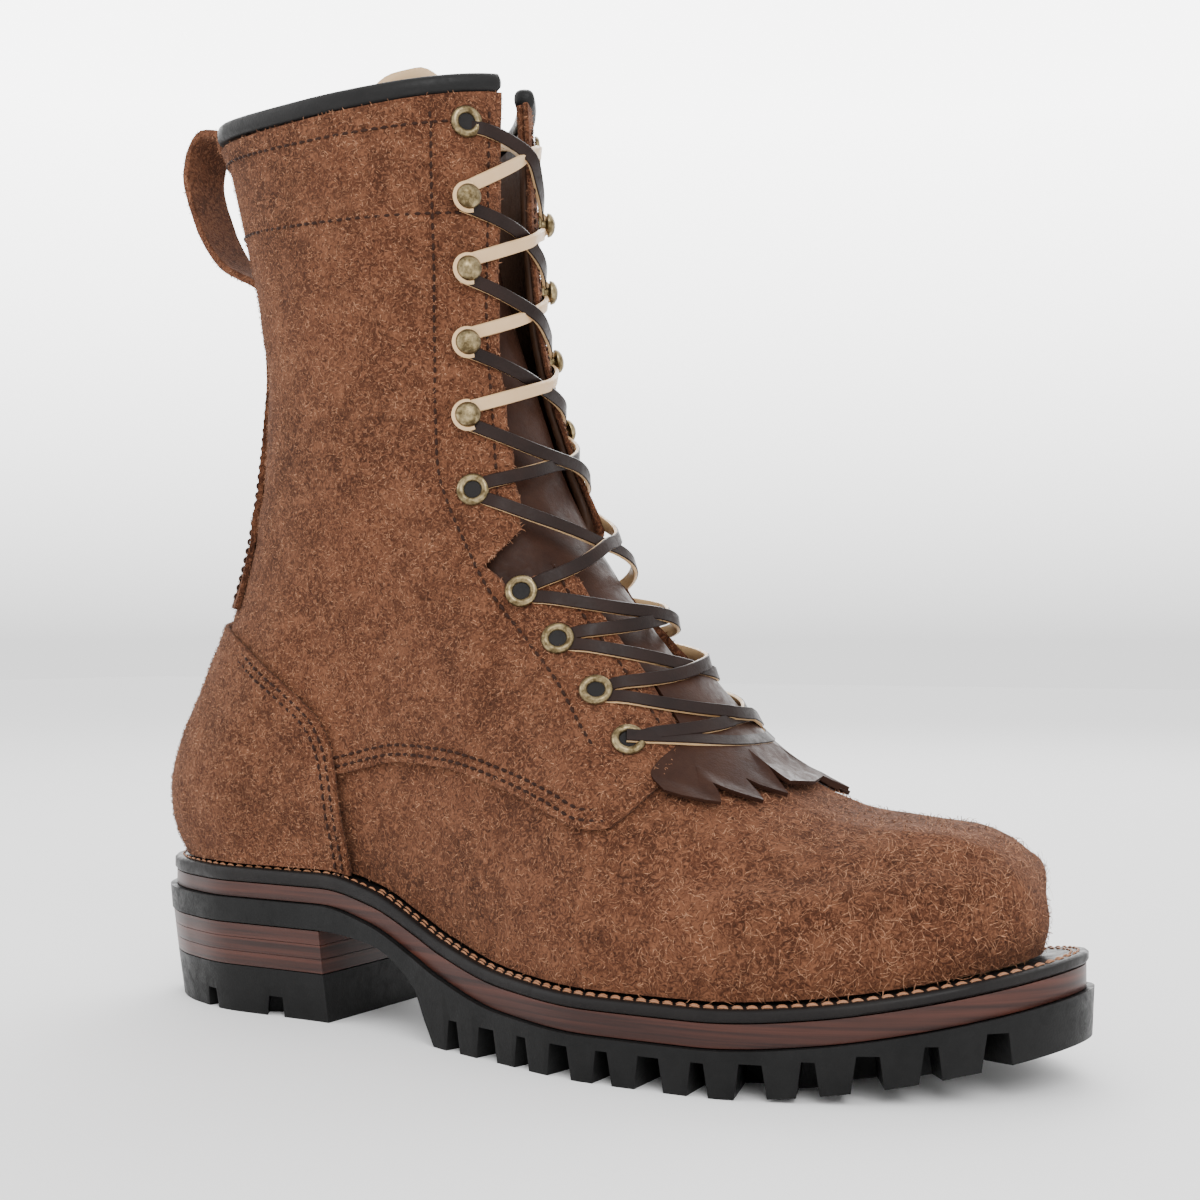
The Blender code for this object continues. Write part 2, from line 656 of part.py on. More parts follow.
def make_backstay(suede):
    """Strip over the back seam, from under the counter's top to the foot of the loop."""
    rows = levels_between(0.60, 0.90)
    step = 180 / SIDE_STEPS
    angle_rows = []
    for t in rows:
        girth = (upper_point(t, 90.0)[1] - upper_point(t, -90.0)[1]) / 2
        wide = BACKSTAY_WIDTH + (BACKSTAY_FOOT - BACKSTAY_WIDTH) * ease((rows[-1] - t) / 0.2)
        turn = math.degrees(math.asin(wide / 2 / girth))
        turns = (turn, min(2 * step, (turn + step) / 2), step)
        angle_rows.append([180 - a for a in turns] + [180] + [a - 180 for a in turns[::-1]])
    inner = lambda t: QUARTER_OUT + BACKSTAY_ROOM
    patch("backstay", suede, rows, angle_rows, inner, lambda t: BACKSTAY_OUT)


def make_pull_loop(suede):
    """Strap that leaves the backstay, stands off the shaft and comes back to the collar."""
    foot = upper_point(levels_between(0.60, 0.90)[-1], 180.0)
    top = upper_point(1.0, 180.0)
    rise = top[2] - foot[2]
    back = top[0] - BACKSTAY_OUT
    path = (
        (foot[0] - QUARTER_OUT - SEAT_ROOM - LOOP_WALL / 2 - 2 * GAP, foot[2] + 4 * GAP),
        (back - LOOP_REACH * 0.10, foot[2] + rise * 0.22),
        (back - LOOP_REACH * 0.72, foot[2] + rise * 0.58),
        (back - LOOP_REACH, foot[2] + rise * 0.92),
        (back - LOOP_REACH * 0.93, foot[2] + rise * 1.10),
        (back - LOOP_REACH * 0.60, foot[2] + rise * 1.24),
        (back - LOOP_REACH * 0.22, foot[2] + rise * 1.22),
        (back - SEAT_ROOM - 2 * GAP, foot[2] + rise * 1.06),
    )
    path = np.array(path)
    marks = np.arange(len(path), dtype=float)
    fine = np.linspace(0, len(path) - 1, 15)
    line = np.stack([curve_through(fine, marks, path[:, c]) for c in (0, 1)], 1)
    loops = []
    for i, (x, z) in enumerate(line):
        step = line[min(i + 1, len(line) - 1)] - line[max(i - 1, 0)]
        step /= np.linalg.norm(step)
        side = np.array((step[1], -step[0])) * LOOP_WALL / 2
        corners = ((-1, -1), (1, -1), (1, 1), (-1, 1))
        half = BACKSTAY_WIDTH / 2
        loops.append([(x + s * side[0], foot[1] + y * half, z + s * side[1]) for s, y in corners])
    faces = joined_loops(loops) + [(0, 1, 2, 3), tuple(4 * len(loops) - 4 + k for k in range(4))]
    make_object("pull_loop", [p for loop in loops for p in loop], faces, suede)


def make_binding(leather):
    """Rolled black strip on the collar's edge, from facing to facing round the back."""
    middle = (QUARTER_OUT - WALL) / 2
    turn = np.linspace(BINDING_END, 360 - BINDING_END, 33)
    loops = []
    for angle in turn:
        angle = angle if angle <= 180 else angle - 360
        inner = upper_point(1.0, angle, middle - BINDING_WIDTH / 2)
        outer = upper_point(1.0, angle, middle + BINDING_WIDTH / 2)
        loop = []
        for k in range(8):
            around = math.radians(22.5 + 45 * k)
            across = 0.5 + 0.5 * math.cos(around) / math.cos(math.radians(22.5))
            rise = 0.5 + 0.5 * math.sin(around) / math.cos(math.radians(22.5))
            place = inner + (outer - inner) * across
            loop.append((place[0], place[1], inner[2] + SEAT_ROOM + BINDING_HEIGHT * rise))
        loops.append(loop)
    faces = joined_loops(loops) + [tuple(range(8)), tuple(8 * len(loops) - 8 + k for k in range(8))]
    make_object("collar_binding", [p for loop in loops for p in loop], faces, leather)


def make_tongue(leather):
    """Sheet behind the facings that leans back into the shaft above the ankle."""
    rows = levels_between(0.40, 0.95)
    spread = [k * 180 / SIDE_STEPS for k in range(-TONGUE_STEPS, TONGUE_STEPS + 1)]
    lean = lambda t: TONGUE_LEAN * float(ease((t - 0.78) / 0.22))
    front = lambda t: -WALL - TONGUE_ROOM - lean(t)
    back = lambda t: -WALL - TONGUE_ROOM - TONGUE_WALL - lean(t)
    patch("tongue", leather, rows, [spread] * len(rows), back, front)


def make_kiltie(leather):
    """False tongue over the throat's foot, with a toothed edge towards the toe."""
    middle = KILTIE_COLUMNS // 2
    rows, angle_rows = [], []
    for t, spread, droop in KILTIE:
        shares = [k / middle - 1 for k in range(KILTIE_COLUMNS)]
        rows.append([t + droop * (1 - abs(share) ** 1.5) for share in shares])
        angle_rows.append([spread * share for share in shares])
    rows.append([t - KILTIE_TOOTH * (k % 2 == 0) for k, t in enumerate(rows[-1])])
    angle_rows.append(angle_rows[-1])
    patch("kiltie", leather, rows, angle_rows, lambda t: KILTIE_ROOM, lambda t: KILTIE_ROOM + KILTIE_WALL)


def frame_at(t, angle):
    """Normal and two directions in the surface at a place on the upper."""
    place = upper_point(t, angle, 0.0)
    normal = upper_point(t, angle, 1.0) - place
    normal /= np.linalg.norm(normal)
    up = upper_point(t + 0.01, angle) - upper_point(t - 0.01, angle)
    up -= normal * np.dot(up, normal)
    up /= np.linalg.norm(up)
    return normal, up, np.cross(up, normal)


def turned(name, place, axes, profile, sides, finish, closed):
    """Turned piece from a profile of radius and height rows."""
    normal, first, second = axes
    loops = []
    for radius, height in profile:
        loop = []
        for k in range(sides):
            around = 2 * math.pi * k / sides
            loop.append(place + normal * height + radius * (first * math.cos(around) + second * math.sin(around)))
        loops.append(loop)
    faces = joined_loops(loops, closed)
    if not closed:
        faces += [tuple(range(sides)), tuple(sides * len(loops) - sides + k for k in range(sides))]
    return make_object(name, [p for loop in loops for p in loop], faces, finish)


def make_hardware(brass):
    for index, (t, angle, kind) in enumerate(LACING):
        for side, word in ((-1, "lateral"), (1, "medial")):
            axes = frame_at(t, side * angle)
            place = upper_point(t, side * angle, QUARTER_OUT + EYELET_ROOM)
            name = f"{kind}_{word}_{index + 1:02d}"
            if kind == "eyelet":
                profile = ((EYELET_BORE, 0.0), (EYELET_RADIUS, 0.0), (EYELET_RADIUS * 0.7, EYELET_HEIGHT))
                turned(name, place, axes, profile, 8, brass, True)
            else:
                profile = ((HOOK_RADIUS, 0.0), (HOOK_RADIUS * 0.45, 1.2), (HOOK_RADIUS * 0.45, HOOK_HEIGHT * 0.45),
                           (HOOK_RADIUS, HOOK_HEIGHT * 0.55), (HOOK_RADIUS * 0.5, HOOK_HEIGHT))
                turned(name, place, axes, profile, 8, brass, False)


def strand(name, start, stop, finish, points=5):
    """Flat lace strand over the virtual surface between two places (level, angle)."""
    loops = []
    for k in range(points):
        share = k / (points - 1)
        t = start[0] + (stop[0] - start[0]) * share
        angle = start[1] + (stop[1] - start[1]) * share
        ahead = upper_point(t + (stop[0] - start[0]) * 0.02, angle + (stop[1] - start[1]) * 0.02, LACE_LIFT)
        place = upper_point(t, angle, LACE_LIFT)
        run = ahead - place
        run /= np.linalg.norm(run)
        normal = upper_point(t, angle, LACE_LIFT + 1.0) - place
        across = np.cross(run, normal)
        across /= np.linalg.norm(across)
        lift = np.cross(across, run)
        half, thick = LACE_WIDTH / 2, LACE_THICKNESS / 2
        loops.append([place + across * half + lift * thick, place - across * half + lift * thick,
                      place - across * half - lift * thick, place + across * half - lift * thick])
    faces = joined_loops(loops) + [(0, 1, 2, 3), tuple(4 * points - 4 + k for k in range(4))]
    return make_object(name, [p for loop in loops for p in loop], faces, finish)


def make_lace(leather):
    """One crossing between each two lacing pairs, its two strands joined where they meet."""
    for index in range(len(LACING) - 1):
        t0, a0, _ = LACING[index]
        t1, a1, _ = LACING[index + 1]
        ends = []
        for side in (-1, 1):
            places = []
            for t, angle, kind, step in ((t0, a0, LACING[index][2], 1), (t1, a1, LACING[index + 1][2], -1)):
                radius = EYELET_RADIUS if kind == "eyelet" else HOOK_RADIUS
                degree = np.linalg.norm(upper_point(t, angle) - upper_point(t, angle - 1.0))
                clear = (radius + LACE_WIDTH * 0.5) / degree
                places.append((t + step * LACE_PARTING, angle - clear))
            begin = (places[0][0], side * places[0][1])
            end = (places[1][0], -side * places[1][1])
            ends.append((begin, end))
        crossing = strand(f"lace_crossing_{index + 1}", *ends[0], leather)
        other = strand(f"lace_tool_{index + 1}", *ends[1], bpy.data.materials["Cutter"])
        other.hide_render = True
        other.display_type = "WIRE"
        boolean(crossing, other, "UNION")


def make_lace_end(leather):
    """Free end of the lace: it arches over the inner side of the collar and hangs inside the shaft."""
    path = bpy.data.curves.new("lace_end", "CURVE")
    path.dimensions = "3D"
    marks = np.arange(len(LACE_END), dtype=float)
    route = np.array(LACE_END)
    fine = np.linspace(0, len(LACE_END) - 1, 2 * len(LACE_END))
    line = np.stack([curve_through(fine, marks, route[:, c]) for c in range(3)], 1)
    spline = path.splines.new("POLY")
    spline.points.add(len(line) - 1)
    for point, place in zip(spline.points, line):
        point.co = (*(place * MM), 1.0)
    path.bevel_depth = LACE_END_RADIUS * MM
    path.bevel_resolution = 1
    path.use_fill_caps = True
    path.materials.append(leather)
    made = bpy.data.objects.new("lace_end", path)
    bpy.context.collection.objects.link(made)


def main():
    clear_scene()
    material("Cutter", (0.5, 0.5, 0.5), 0.5)
    suede = material("Rough suede", (0.19, 0.075, 0.035), 0.95)
    rubber = material("Black rubber", (0.022, 0.023, 0.023), 0.7)
    stack = material("Mahogany leather", (0.09, 0.025, 0.015), 0.4)
    edge = material("Black edge leather", (0.012, 0.011, 0.011), 0.3)
    smooth = material("Dark brown leather", (0.045, 0.02, 0.013), 0.45)
    board = material("Insole leather", (0.40, 0.25, 0.14), 0.7)
    brass = material("Antique brass", (0.40, 0.31, 0.17), 0.35, 1.0)
    lace = material("Lace leather", (0.025, 0.013, 0.011), 0.5)
    make_outsole(rubber)
    make_heel(stack, rubber)
    make_midsole(stack)
    make_welt(edge)
    make_insole(board)
    make_upper(suede)
    make_backstay(suede)
    make_pull_loop(suede)
    make_binding(edge)
    make_tongue(smooth)
    make_kiltie(smooth)
    make_hardware(brass)
    make_lace(lace)
    make_lace_end(lace)


main()
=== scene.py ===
# %% [markdown]
# # A logger boot in rough suede
# The frame holds the boot's solids at their real size. This lesson dresses them: each soft or fine
# piece is modelled again with a fine mesh in the same place, and takes over from its plain solid.
# Lengths are written in millimetres and scaled once, where a mesh is made.

# %% Load the frame
import math

import bmesh
import bpy
import numpy as np
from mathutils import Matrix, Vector, noise


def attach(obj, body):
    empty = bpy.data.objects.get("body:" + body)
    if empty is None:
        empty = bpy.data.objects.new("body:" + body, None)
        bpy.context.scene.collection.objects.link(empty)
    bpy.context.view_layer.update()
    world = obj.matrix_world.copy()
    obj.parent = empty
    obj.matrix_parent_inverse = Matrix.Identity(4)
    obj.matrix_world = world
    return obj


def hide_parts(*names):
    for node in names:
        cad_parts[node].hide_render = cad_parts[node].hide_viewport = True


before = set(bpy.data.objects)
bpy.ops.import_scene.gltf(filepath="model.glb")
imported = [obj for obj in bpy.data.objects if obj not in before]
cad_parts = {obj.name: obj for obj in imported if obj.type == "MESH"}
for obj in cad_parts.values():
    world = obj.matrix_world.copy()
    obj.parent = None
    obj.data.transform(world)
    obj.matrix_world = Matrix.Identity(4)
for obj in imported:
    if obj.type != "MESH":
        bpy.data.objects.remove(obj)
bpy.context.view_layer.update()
MM = 0.001
rng = np.random.default_rng(7)
print("solids in the frame:", len(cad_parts))

# %% [markdown]
# The view matches the photo: the boot is seen from its outer side, a little from the front, by a
# camera that stands at about half its height. A close camera gives the strong perspective.

# %% Camera
CAMERA_TARGET = (9.1, 0.0, 131.0)
CAMERA_TURN = 30.0
CAMERA_TILT = -1.3
CAMERA_DISTANCE = 547.0
CAMERA_LENS = 53.8

turn, tilt = math.radians(CAMERA_TURN), math.radians(CAMERA_TILT)
away = Vector((math.sin(turn) * math.cos(tilt), -math.cos(turn) * math.cos(tilt), math.sin(tilt)))
camera = bpy.data.objects.new("camera", bpy.data.cameras.new("camera"))
camera.location = (Vector(CAMERA_TARGET) + away * CAMERA_DISTANCE) * MM
camera.rotation_euler = away.to_track_quat("Z", "Y").to_euler()
camera.data.lens = CAMERA_LENS
camera.data.sensor_width = 36.0
camera.data.clip_start = 0.01
bpy.context.collection.objects.link(camera)
bpy.context.scene.camera = camera
print("camera at", [round(c, 3) for c in camera.location])

# %% [markdown]
# The boot's form is worked out from a few named sizes, as a shoemaker works from a last. The tables
# hold shares of those sizes. The outline table gives the sole's two sides, the layer table the
# heights along it, and the level table closed loops from the feather line to the collar.

# %% Sizes and tables of the form
LENGTH, BALL_WIDTH, HEEL_LENGTH = 312.0, 114.0, 84.0
HEEL_RISE, TOP_LIFT, LUG_DEPTH, TOE_SPRING, HEEL_TAPER = 29.0, 15.0, 9.0, 13.0, 4.5
MIDSOLE_STEP, WELT_STEP, WELT_BAND, SPRING_START = 2.0, 1.4, 15.0, 0.72
SHAFT_RISE, HEEL_CUP_WIDTH, ANKLE_WIDTH, COLLAR_WIDTH = 249.0, 62.0, 69.0, 85.0
WALL, QUARTER_WALL, COUNTER_WALL, BACKSTAY_WALL, GAP = 2.2, 1.6, 1.6, 1.6, 0.3
FEATHER_ROOM, SEAT_ROOM = 1.05, 0.55
QUARTER_OUT = GAP + QUARTER_WALL
COUNTER_IN = QUARTER_OUT + GAP
COUNTER_OUT = COUNTER_IN + COUNTER_WALL

OUTLINE = np.array([
    (0.00, 0.000, 0.000), (0.03, 0.175, 0.175), (0.08, 0.262, 0.262), (0.15, 0.312, 0.318),
    (0.25, 0.312, 0.316), (0.38, 0.350, 0.285), (0.50, 0.430, 0.345), (0.62, 0.500, 0.450),
    (0.72, 0.492, 0.500), (0.82, 0.420, 0.470), (0.90, 0.310, 0.400), (0.96, 0.180, 0.290),
    (1.00, -0.060, 0.060),
])
LAYERS = np.array([
    (0.00, 1.000, 1.270, 1.440, 1.600), (0.27, 1.000, 1.270, 1.440, 1.600),
    (0.34, 0.930, 1.130, 1.310, 1.470), (0.40, 0.560, 0.860, 1.060, 1.200),
    (0.43, 0.000, 0.720, 0.930, 1.070), (0.52, 0.000, 0.480, 0.710, 0.840),
    (0.62, 0.000, 0.430, 0.660, 0.780), (0.75, 0.000, 0.430, 0.660, 0.780),
    (1.00, 0.000, 0.450, 0.680, 0.800),
])
LEDGE = np.array([(0.00, 0.085), (0.25, 0.070), (0.50, 0.062), (0.75, 0.062), (0.92, 0.075), (1.00, 0.082)])
LEVELS = np.array([
    (-0.930, 0.000, 0.913, 0.000, 0.00, 1.00), (-0.954, 0.030, 0.923, 0.030, 0.00, 0.94),
    (-0.968, 0.062, 0.908, 0.067, 0.00, 0.84), (-0.970, 0.090, 0.875, 0.098, 0.00, 0.70),
    (-0.962, 0.114, 0.826, 0.119, 0.00, 0.55), (-0.950, 0.134, 0.754, 0.131, 0.00, 0.40),
    (-0.934, 0.158, 0.662, 0.135, 0.00, 0.28), (-0.914, 0.182, 0.564, 0.140, 0.00, 0.18),
    (-0.890, 0.210, 0.468, 0.160, 0.02, 0.10), (-0.865, 0.242, 0.372, 0.201, 0.10, 0.05),
    (-0.830, 0.282, 0.280, 0.254, 0.24, 0.00), (-0.795, 0.326, 0.200, 0.310, 0.40, 0.00),
    (-0.760, 0.374, 0.125, 0.363, 0.57, 0.00), (-0.728, 0.426, 0.055, 0.415, 0.74, 0.00),
    (-0.702, 0.482, -0.008, 0.467, 0.88, 0.00), (-0.684, 0.545, -0.058, 0.532, 0.97, 0.00),
    (-0.677, 0.622, -0.090, 0.617, 1.00, 0.00), (-0.692, 0.710, -0.104, 0.709, 1.00, 0.00),
    (-0.727, 0.806, -0.106, 0.809, 1.00, 0.00), (-0.767, 0.902, -0.108, 0.908, 1.00, 0.00),
    (-0.800, 0.937, -0.112, 0.966, 1.00, 0.00),
])
BACK_SIDE, COLLAR_DIP, OVAL_POWER = 6.0, 6.0, 0.95
# level, sideways place of the shaft's front in mm, power that makes the front blunt or pointed
SHAFT_FRONT = np.array([
    (0.50, 3.0, 0.80), (0.60, 5.0, 0.70), (0.70, 7.0, 0.65), (0.76, 5.0, 0.75), (0.81, 1.5, 0.95),
    (0.86, -1.5, 1.10), (0.93, -3.0, 1.25), (1.00, -3.5, 1.30),
])
RIDGE = np.array([(-1.0, 0.0), (-0.10, -3.0), (0.10, 1.0), (0.35, 5.0), (0.65, 7.0), (0.95, 7.0)])
# level, then the throat's edges in mm to the outer and the inner side of the front's middle
THROAT = np.array([
    (0.418, 36.0, 30.0), (0.440, 30.5, 26.0), (0.468, 26.0, 21.0), (0.500, 23.5, 18.5), (0.540, 21.0, 17.5),
    (0.590, 20.0, 17.5), (0.636, 19.5, 18.0), (0.650, 23.0, 19.0), (0.658, 33.0, 24.0), (0.684, 35.0, 26.0),
    (0.696, 26.0, 19.0), (0.724, 22.5, 18.0), (0.764, 18.5, 16.0), (0.800, 15.0, 13.0), (0.860, 11.5, 8.5),
    (0.924, 9.5, 5.5), (1.020, 7.5, 5.0),
])
VAMP_THROAT = np.vstack([[(0.430, 9.0, 8.0), (0.455, 19.0, 15.0)], THROAT[THROAT[:, 0] > 0.49]])
LACING = (
    (0.452, 39.5, "eyelet"), (0.500, 40.5, "eyelet"), (0.552, 44.5, "eyelet"), (0.604, 48.0, "eyelet"),
    (0.716, 46.5, "eyelet"), (0.776, 41.0, "hook"), (0.825, 37.0, "hook"), (0.871, 34.5, "hook"),
    (0.913, 33.5, "hook"), (0.966, 32.0, "eyelet"),
)
QUARTER_SEAM = (
    (-0.62, 0.098), (-0.42, 0.124), (-0.26, 0.143), (-0.14, 0.139), (0.00, 0.120), (0.10, 0.101),
    (0.185, 0.082), (0.232, 0.081), (0.285, 0.112), (0.308, 0.140), (0.300, 0.178), (0.272, 0.205),
)
COUNTER_SEAM = (
    (-0.86, 0.322), (-0.80, 0.312), (-0.70, 0.292), (-0.62, 0.265), (-0.53, 0.228), (-0.46, 0.190),
    (-0.43, 0.150), (-0.412, 0.094), (-0.398, 0.030), (-0.385, -0.04),
)
print("levels in the upper's table:", len(LEVELS))


# %% The form's functions
def curve_through(x, xs, ys):
    """Smooth curve through a table that never overshoots between two rows."""
    x = np.clip(np.asarray(x, float), xs[0], xs[-1])
    step = np.diff(xs)
    slope = np.diff(ys) / step
    tangent = np.zeros(len(xs))
    tangent[0], tangent[-1] = slope[0], slope[-1]
    inner = slope[:-1] * slope[1:] > 0
    before, after = slope[:-1][inner], slope[1:][inner]
    tangent[1:-1][inner] = 2 * before * after / (before + after)
    k = np.clip(np.searchsorted(xs, x, side="right") - 1, 0, len(xs) - 2)
    h, t = step[k], (x - xs[k]) / step[k]
    return (
        (1 + 2 * t) * (1 - t) ** 2 * ys[k] + t * (1 - t) ** 2 * h * tangent[k]
        + t * t * (3 - 2 * t) * ys[k + 1] + t * t * (t - 1) * h * tangent[k + 1]
    )


def ease(x):
    x = np.clip(x, 0.0, 1.0)
    return x * x * (3 - 2 * x)


def turn_of(share):
    return np.arccos(np.clip(1 - 2 * np.asarray(share, float), -1, 1))


def half_width(share, medial):
    """Outsole half width; medial is an array of True and False, or one of them."""
    turns, table = turn_of(share), turn_of(OUTLINE[:, 0])
    inner = curve_through(turns, table, OUTLINE[:, 2])
    outer = curve_through(turns, table, OUTLINE[:, 1])
    return np.where(medial, inner, outer) * BALL_WIDTH


def layer(share, column):
    """Height of one of the sole's layers at a share of its length from the heel."""
    flat = curve_through(share, LAYERS[:, 0], LAYERS[:, column]) * HEEL_RISE
    return flat + TOE_SPRING * np.clip((np.asarray(share) - SPRING_START) / (1 - SPRING_START), 0, 1) ** 1.8


def outline_point(share, side, inset):
    """Place on the sole's outline, moved inwards by an inset."""
    ends = np.sin(turn_of(share)) ** 0.5
    x = -LENGTH / 2 + inset + share * (LENGTH - 2 * inset)
    return x, side * (half_width(share, side > 0) - inset * ends)


def level_of(t):
    """Back and front of a level of the upper, and how oval and how bent it is."""
    marks = np.linspace(0, 1, len(LEVELS))
    values = [float(curve_through(t, marks, LEVELS[:, c])) for c in range(6)]
    heel_seat = float(layer(0.0, 4)) + FEATHER_ROOM
    toe_seat = float(layer(0.97, 4)) + FEATHER_ROOM
    top = heel_seat + SHAFT_RISE
    back = (values[0] * LENGTH / 2, heel_seat + values[1] * SHAFT_RISE)
    return back, (values[2] * LENGTH / 2, toe_seat + values[3] * (top - toe_seat)), values[4], values[5]


profile = [level_of(mark)[1] for mark in np.linspace(0, 1, len(LEVELS))[1:16]][::-1]
RIDGE_X, RIDGE_Z = np.array([p[0] for p in profile]), np.array([p[1] for p in profile])
FEATHER_BACK, FEATHER_FRONT = level_of(0.0)[:2]
TOE_REACH = level_of(0.05)[1][0]


def base_row(t, angles):
    """One level of the vamp and lining's outer face, for angles in degrees from the front."""
    back, front, oval, waist = level_of(t)
    side = np.sign(angles)
    turns = np.radians(180 - np.abs(angles))
    u = (1 - np.cos(turns)) / 2
    x = back[0] + u * (front[0] - back[0])
    z = back[1] + u * (front[1] - back[1])
    seat = layer(np.clip((x + LENGTH / 2) / LENGTH, 0, 1), 4) + FEATHER_ROOM
    straight = FEATHER_BACK[1] + (x - FEATHER_BACK[0]) / (FEATHER_FRONT[0] - FEATHER_BACK[0]) * (
        FEATHER_FRONT[1] - FEATHER_BACK[1])
    z = z + waist * (seat - straight) - COLLAR_DIP * ease((t - 0.8) / 0.2) * np.sin(turns) ** 2
    reach = front[0] + ease((t - 0.05) / 0.1) * max(TOE_REACH - front[0], 0.0)
    share = np.clip((x - back[0]) / (reach - back[0]), 0, 1)
    ledge = curve_through(share, LEDGE[:, 0], LEDGE[:, 1]) * BALL_WIDTH
    foot = half_width(share, side > 0) - ledge * np.sin(turn_of(share))
    rise = ease((z - seat) / 20.0)
    heelward = 1 - ease((share - 0.15) / 0.3)
    foot = foot * (1 + rise * (0.02 + heelward * (HEEL_CUP_WIDTH / BALL_WIDTH - 0.44)))
    ridge_z = curve_through(x, RIDGE_X, RIDGE_Z) + np.clip(RIDGE_X[0] - x, 0, 400) * 12
    height = np.clip((z - seat) / np.maximum(ridge_z - seat, 1.0), 0, 1) * ease((t - 0.05) / 0.12)
    arch = (1 - height ** (2.3 + 1.6 * ease((x / LENGTH - 0.15) / 0.25))) ** 0.5
    girth = np.array([HEEL_CUP_WIDTH, HEEL_CUP_WIDTH, ANKLE_WIDTH, ANKLE_WIDTH * 1.06,
                      0.35 * ANKLE_WIDTH * 1.06 + 0.65 * COLLAR_WIDTH, COLLAR_WIDTH]) / 2
    marks = np.array([0.0, 0.2, 0.5, 0.68, 0.85, 1.0])
    shaft = curve_through((z - FEATHER_BACK[1]) / SHAFT_RISE, marks, girth)
    sideways, power = (curve_through(t, SHAFT_FRONT[:, 0], SHAFT_FRONT[:, c]) for c in (1, 2))
    power = OVAL_POWER + (power - OVAL_POWER) * ease((u - 0.4) / 0.3)
    wide = (1 - oval) * foot * arch + oval * shaft * np.sin(turns) ** power
    ridge = curve_through(x / (LENGTH / 2), RIDGE[:, 0], RIDGE[:, 1]) + sideways
    lean = np.clip(height ** 2 * (1 - oval) + oval * u * u, 0, 1)
    return np.stack([x, side * wide + ridge * lean - BACK_SIDE * oval * (1 - u) ** 2, z], -1)


GRID_T, GRID_A = 201, 289
grid_angles = np.linspace(-180, 180, GRID_A)
PLACES = np.stack([base_row(t, grid_angles) for t in np.linspace(0, 1, GRID_T)])
FRONT = GRID_A // 2
PLACES[:, FRONT, 1] = (PLACES[:, FRONT - 1, 1] + PLACES[:, FRONT + 1, 1]) / 2
open_grid = PLACES[:, :-1]
round_step = np.roll(open_grid, -1, 1) - np.roll(open_grid, 1, 1)
NORMALS = np.cross(round_step, np.gradient(open_grid, axis=0))
NORMALS[..., 2] *= ease(np.linspace(0, 1, GRID_T) / 0.10)[:, None]
NORMALS /= np.maximum(np.linalg.norm(NORMALS, axis=-1, keepdims=True), 1e-9)
NORMALS = np.concatenate([NORMALS, NORMALS[:, :1]], 1)


def skin(t, angle, out=0.0):
    """Point of the upper's form at a level and an angle, moved out along its normal."""
    t, angle, out = (np.asarray(value, float) for value in (t, angle, out))
    t, angle, out = np.broadcast_arrays(t, angle, out)
    row = np.clip(t, 0, 1) * (GRID_T - 1)
    column = (np.mod(angle + 180, 360)) / 360 * (GRID_A - 1)
    i = np.clip(row.astype(int), 0, GRID_T - 2)
    j = np.clip(column.astype(int), 0, GRID_A - 2)
    fi, fj = (row - i)[..., None], (column - j)[..., None]
    mix = lambda g: (g[i, j] * (1 - fi) + g[i + 1, j] * fi) * (1 - fj) + (
        g[i, j + 1] * (1 - fi) + g[i + 1, j + 1] * fi) * fj
    return mix(PLACES) + mix(NORMALS) * out[..., None]


print("collar back at", skin(1.0, 180.0).round(1))


# %% [markdown]
# Every mesh goes through one helper, which scales it to metres, turns its faces outwards and gives
# it a finish. Each finish is a material with its own shader, and shared effects are node groups.

# %% Mesh helpers
def add_mesh(name, points, faces, finish, slot, smooth=40.0, clean=True):
    mesh = bpy.data.meshes.new(name)
    mesh.from_pydata((np.asarray(points, float) * MM).tolist(), [], faces)
    if clean:
        work = bmesh.new()
        work.from_mesh(mesh)
        bmesh.ops.remove_doubles(work, verts=work.verts, dist=1e-6)
        bmesh.ops.recalc_face_normals(work, faces=work.faces)
        work.to_mesh(mesh)
        work.free()
    made = bpy.data.objects.new(name, mesh)
    bpy.context.collection.objects.link(made)
    mesh.materials.append(finish)
    mesh.shade_smooth()
    mesh.set_sharp_from_angle(angle=math.radians(smooth))
    if slot:
        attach(made, "root")
    return made


def loop_faces(rows, count, closed=False):
    faces = []
    for i in range(rows if closed else rows - 1):
        a, b = i * count, (i + 1) % rows * count
        faces += [(a + j, a + (j + 1) % count, b + (j + 1) % count, b + j) for j in range(count)]
    return faces


def tube_faces(rows, count):
    """Faces of a tube of rings, with a cap on each end."""
    last = (rows - 1) * count
    return loop_faces(rows, count) + [tuple(range(count)), tuple(last + k for k in range(count))]


def bake_down(made):
    """Replace an object's mesh by its evaluated one, and drop its modifiers."""
    graph = bpy.context.evaluated_depsgraph_get()
    graph.update()
    mesh = bpy.data.meshes.new_from_object(made.evaluated_get(graph))
    made.modifiers.clear()
    made.data = mesh
    return made


def cut(made, tool, operation="DIFFERENCE"):
    step = made.modifiers.new("cut", "BOOLEAN")
    step.operation, step.object, step.solver = operation, tool, "EXACT"
    bake_down(made)
    bpy.data.objects.remove(tool, do_unlink=True)


def bevel(made, width, segments=2, angle=35.0):
    step = made.modifiers.new("bevel", "BEVEL")
    step.width, step.segments = width * MM, segments
    step.limit_method, step.angle_limit = "ANGLE", math.radians(angle)
    step.harden_normals = False
    return bake_down(made)


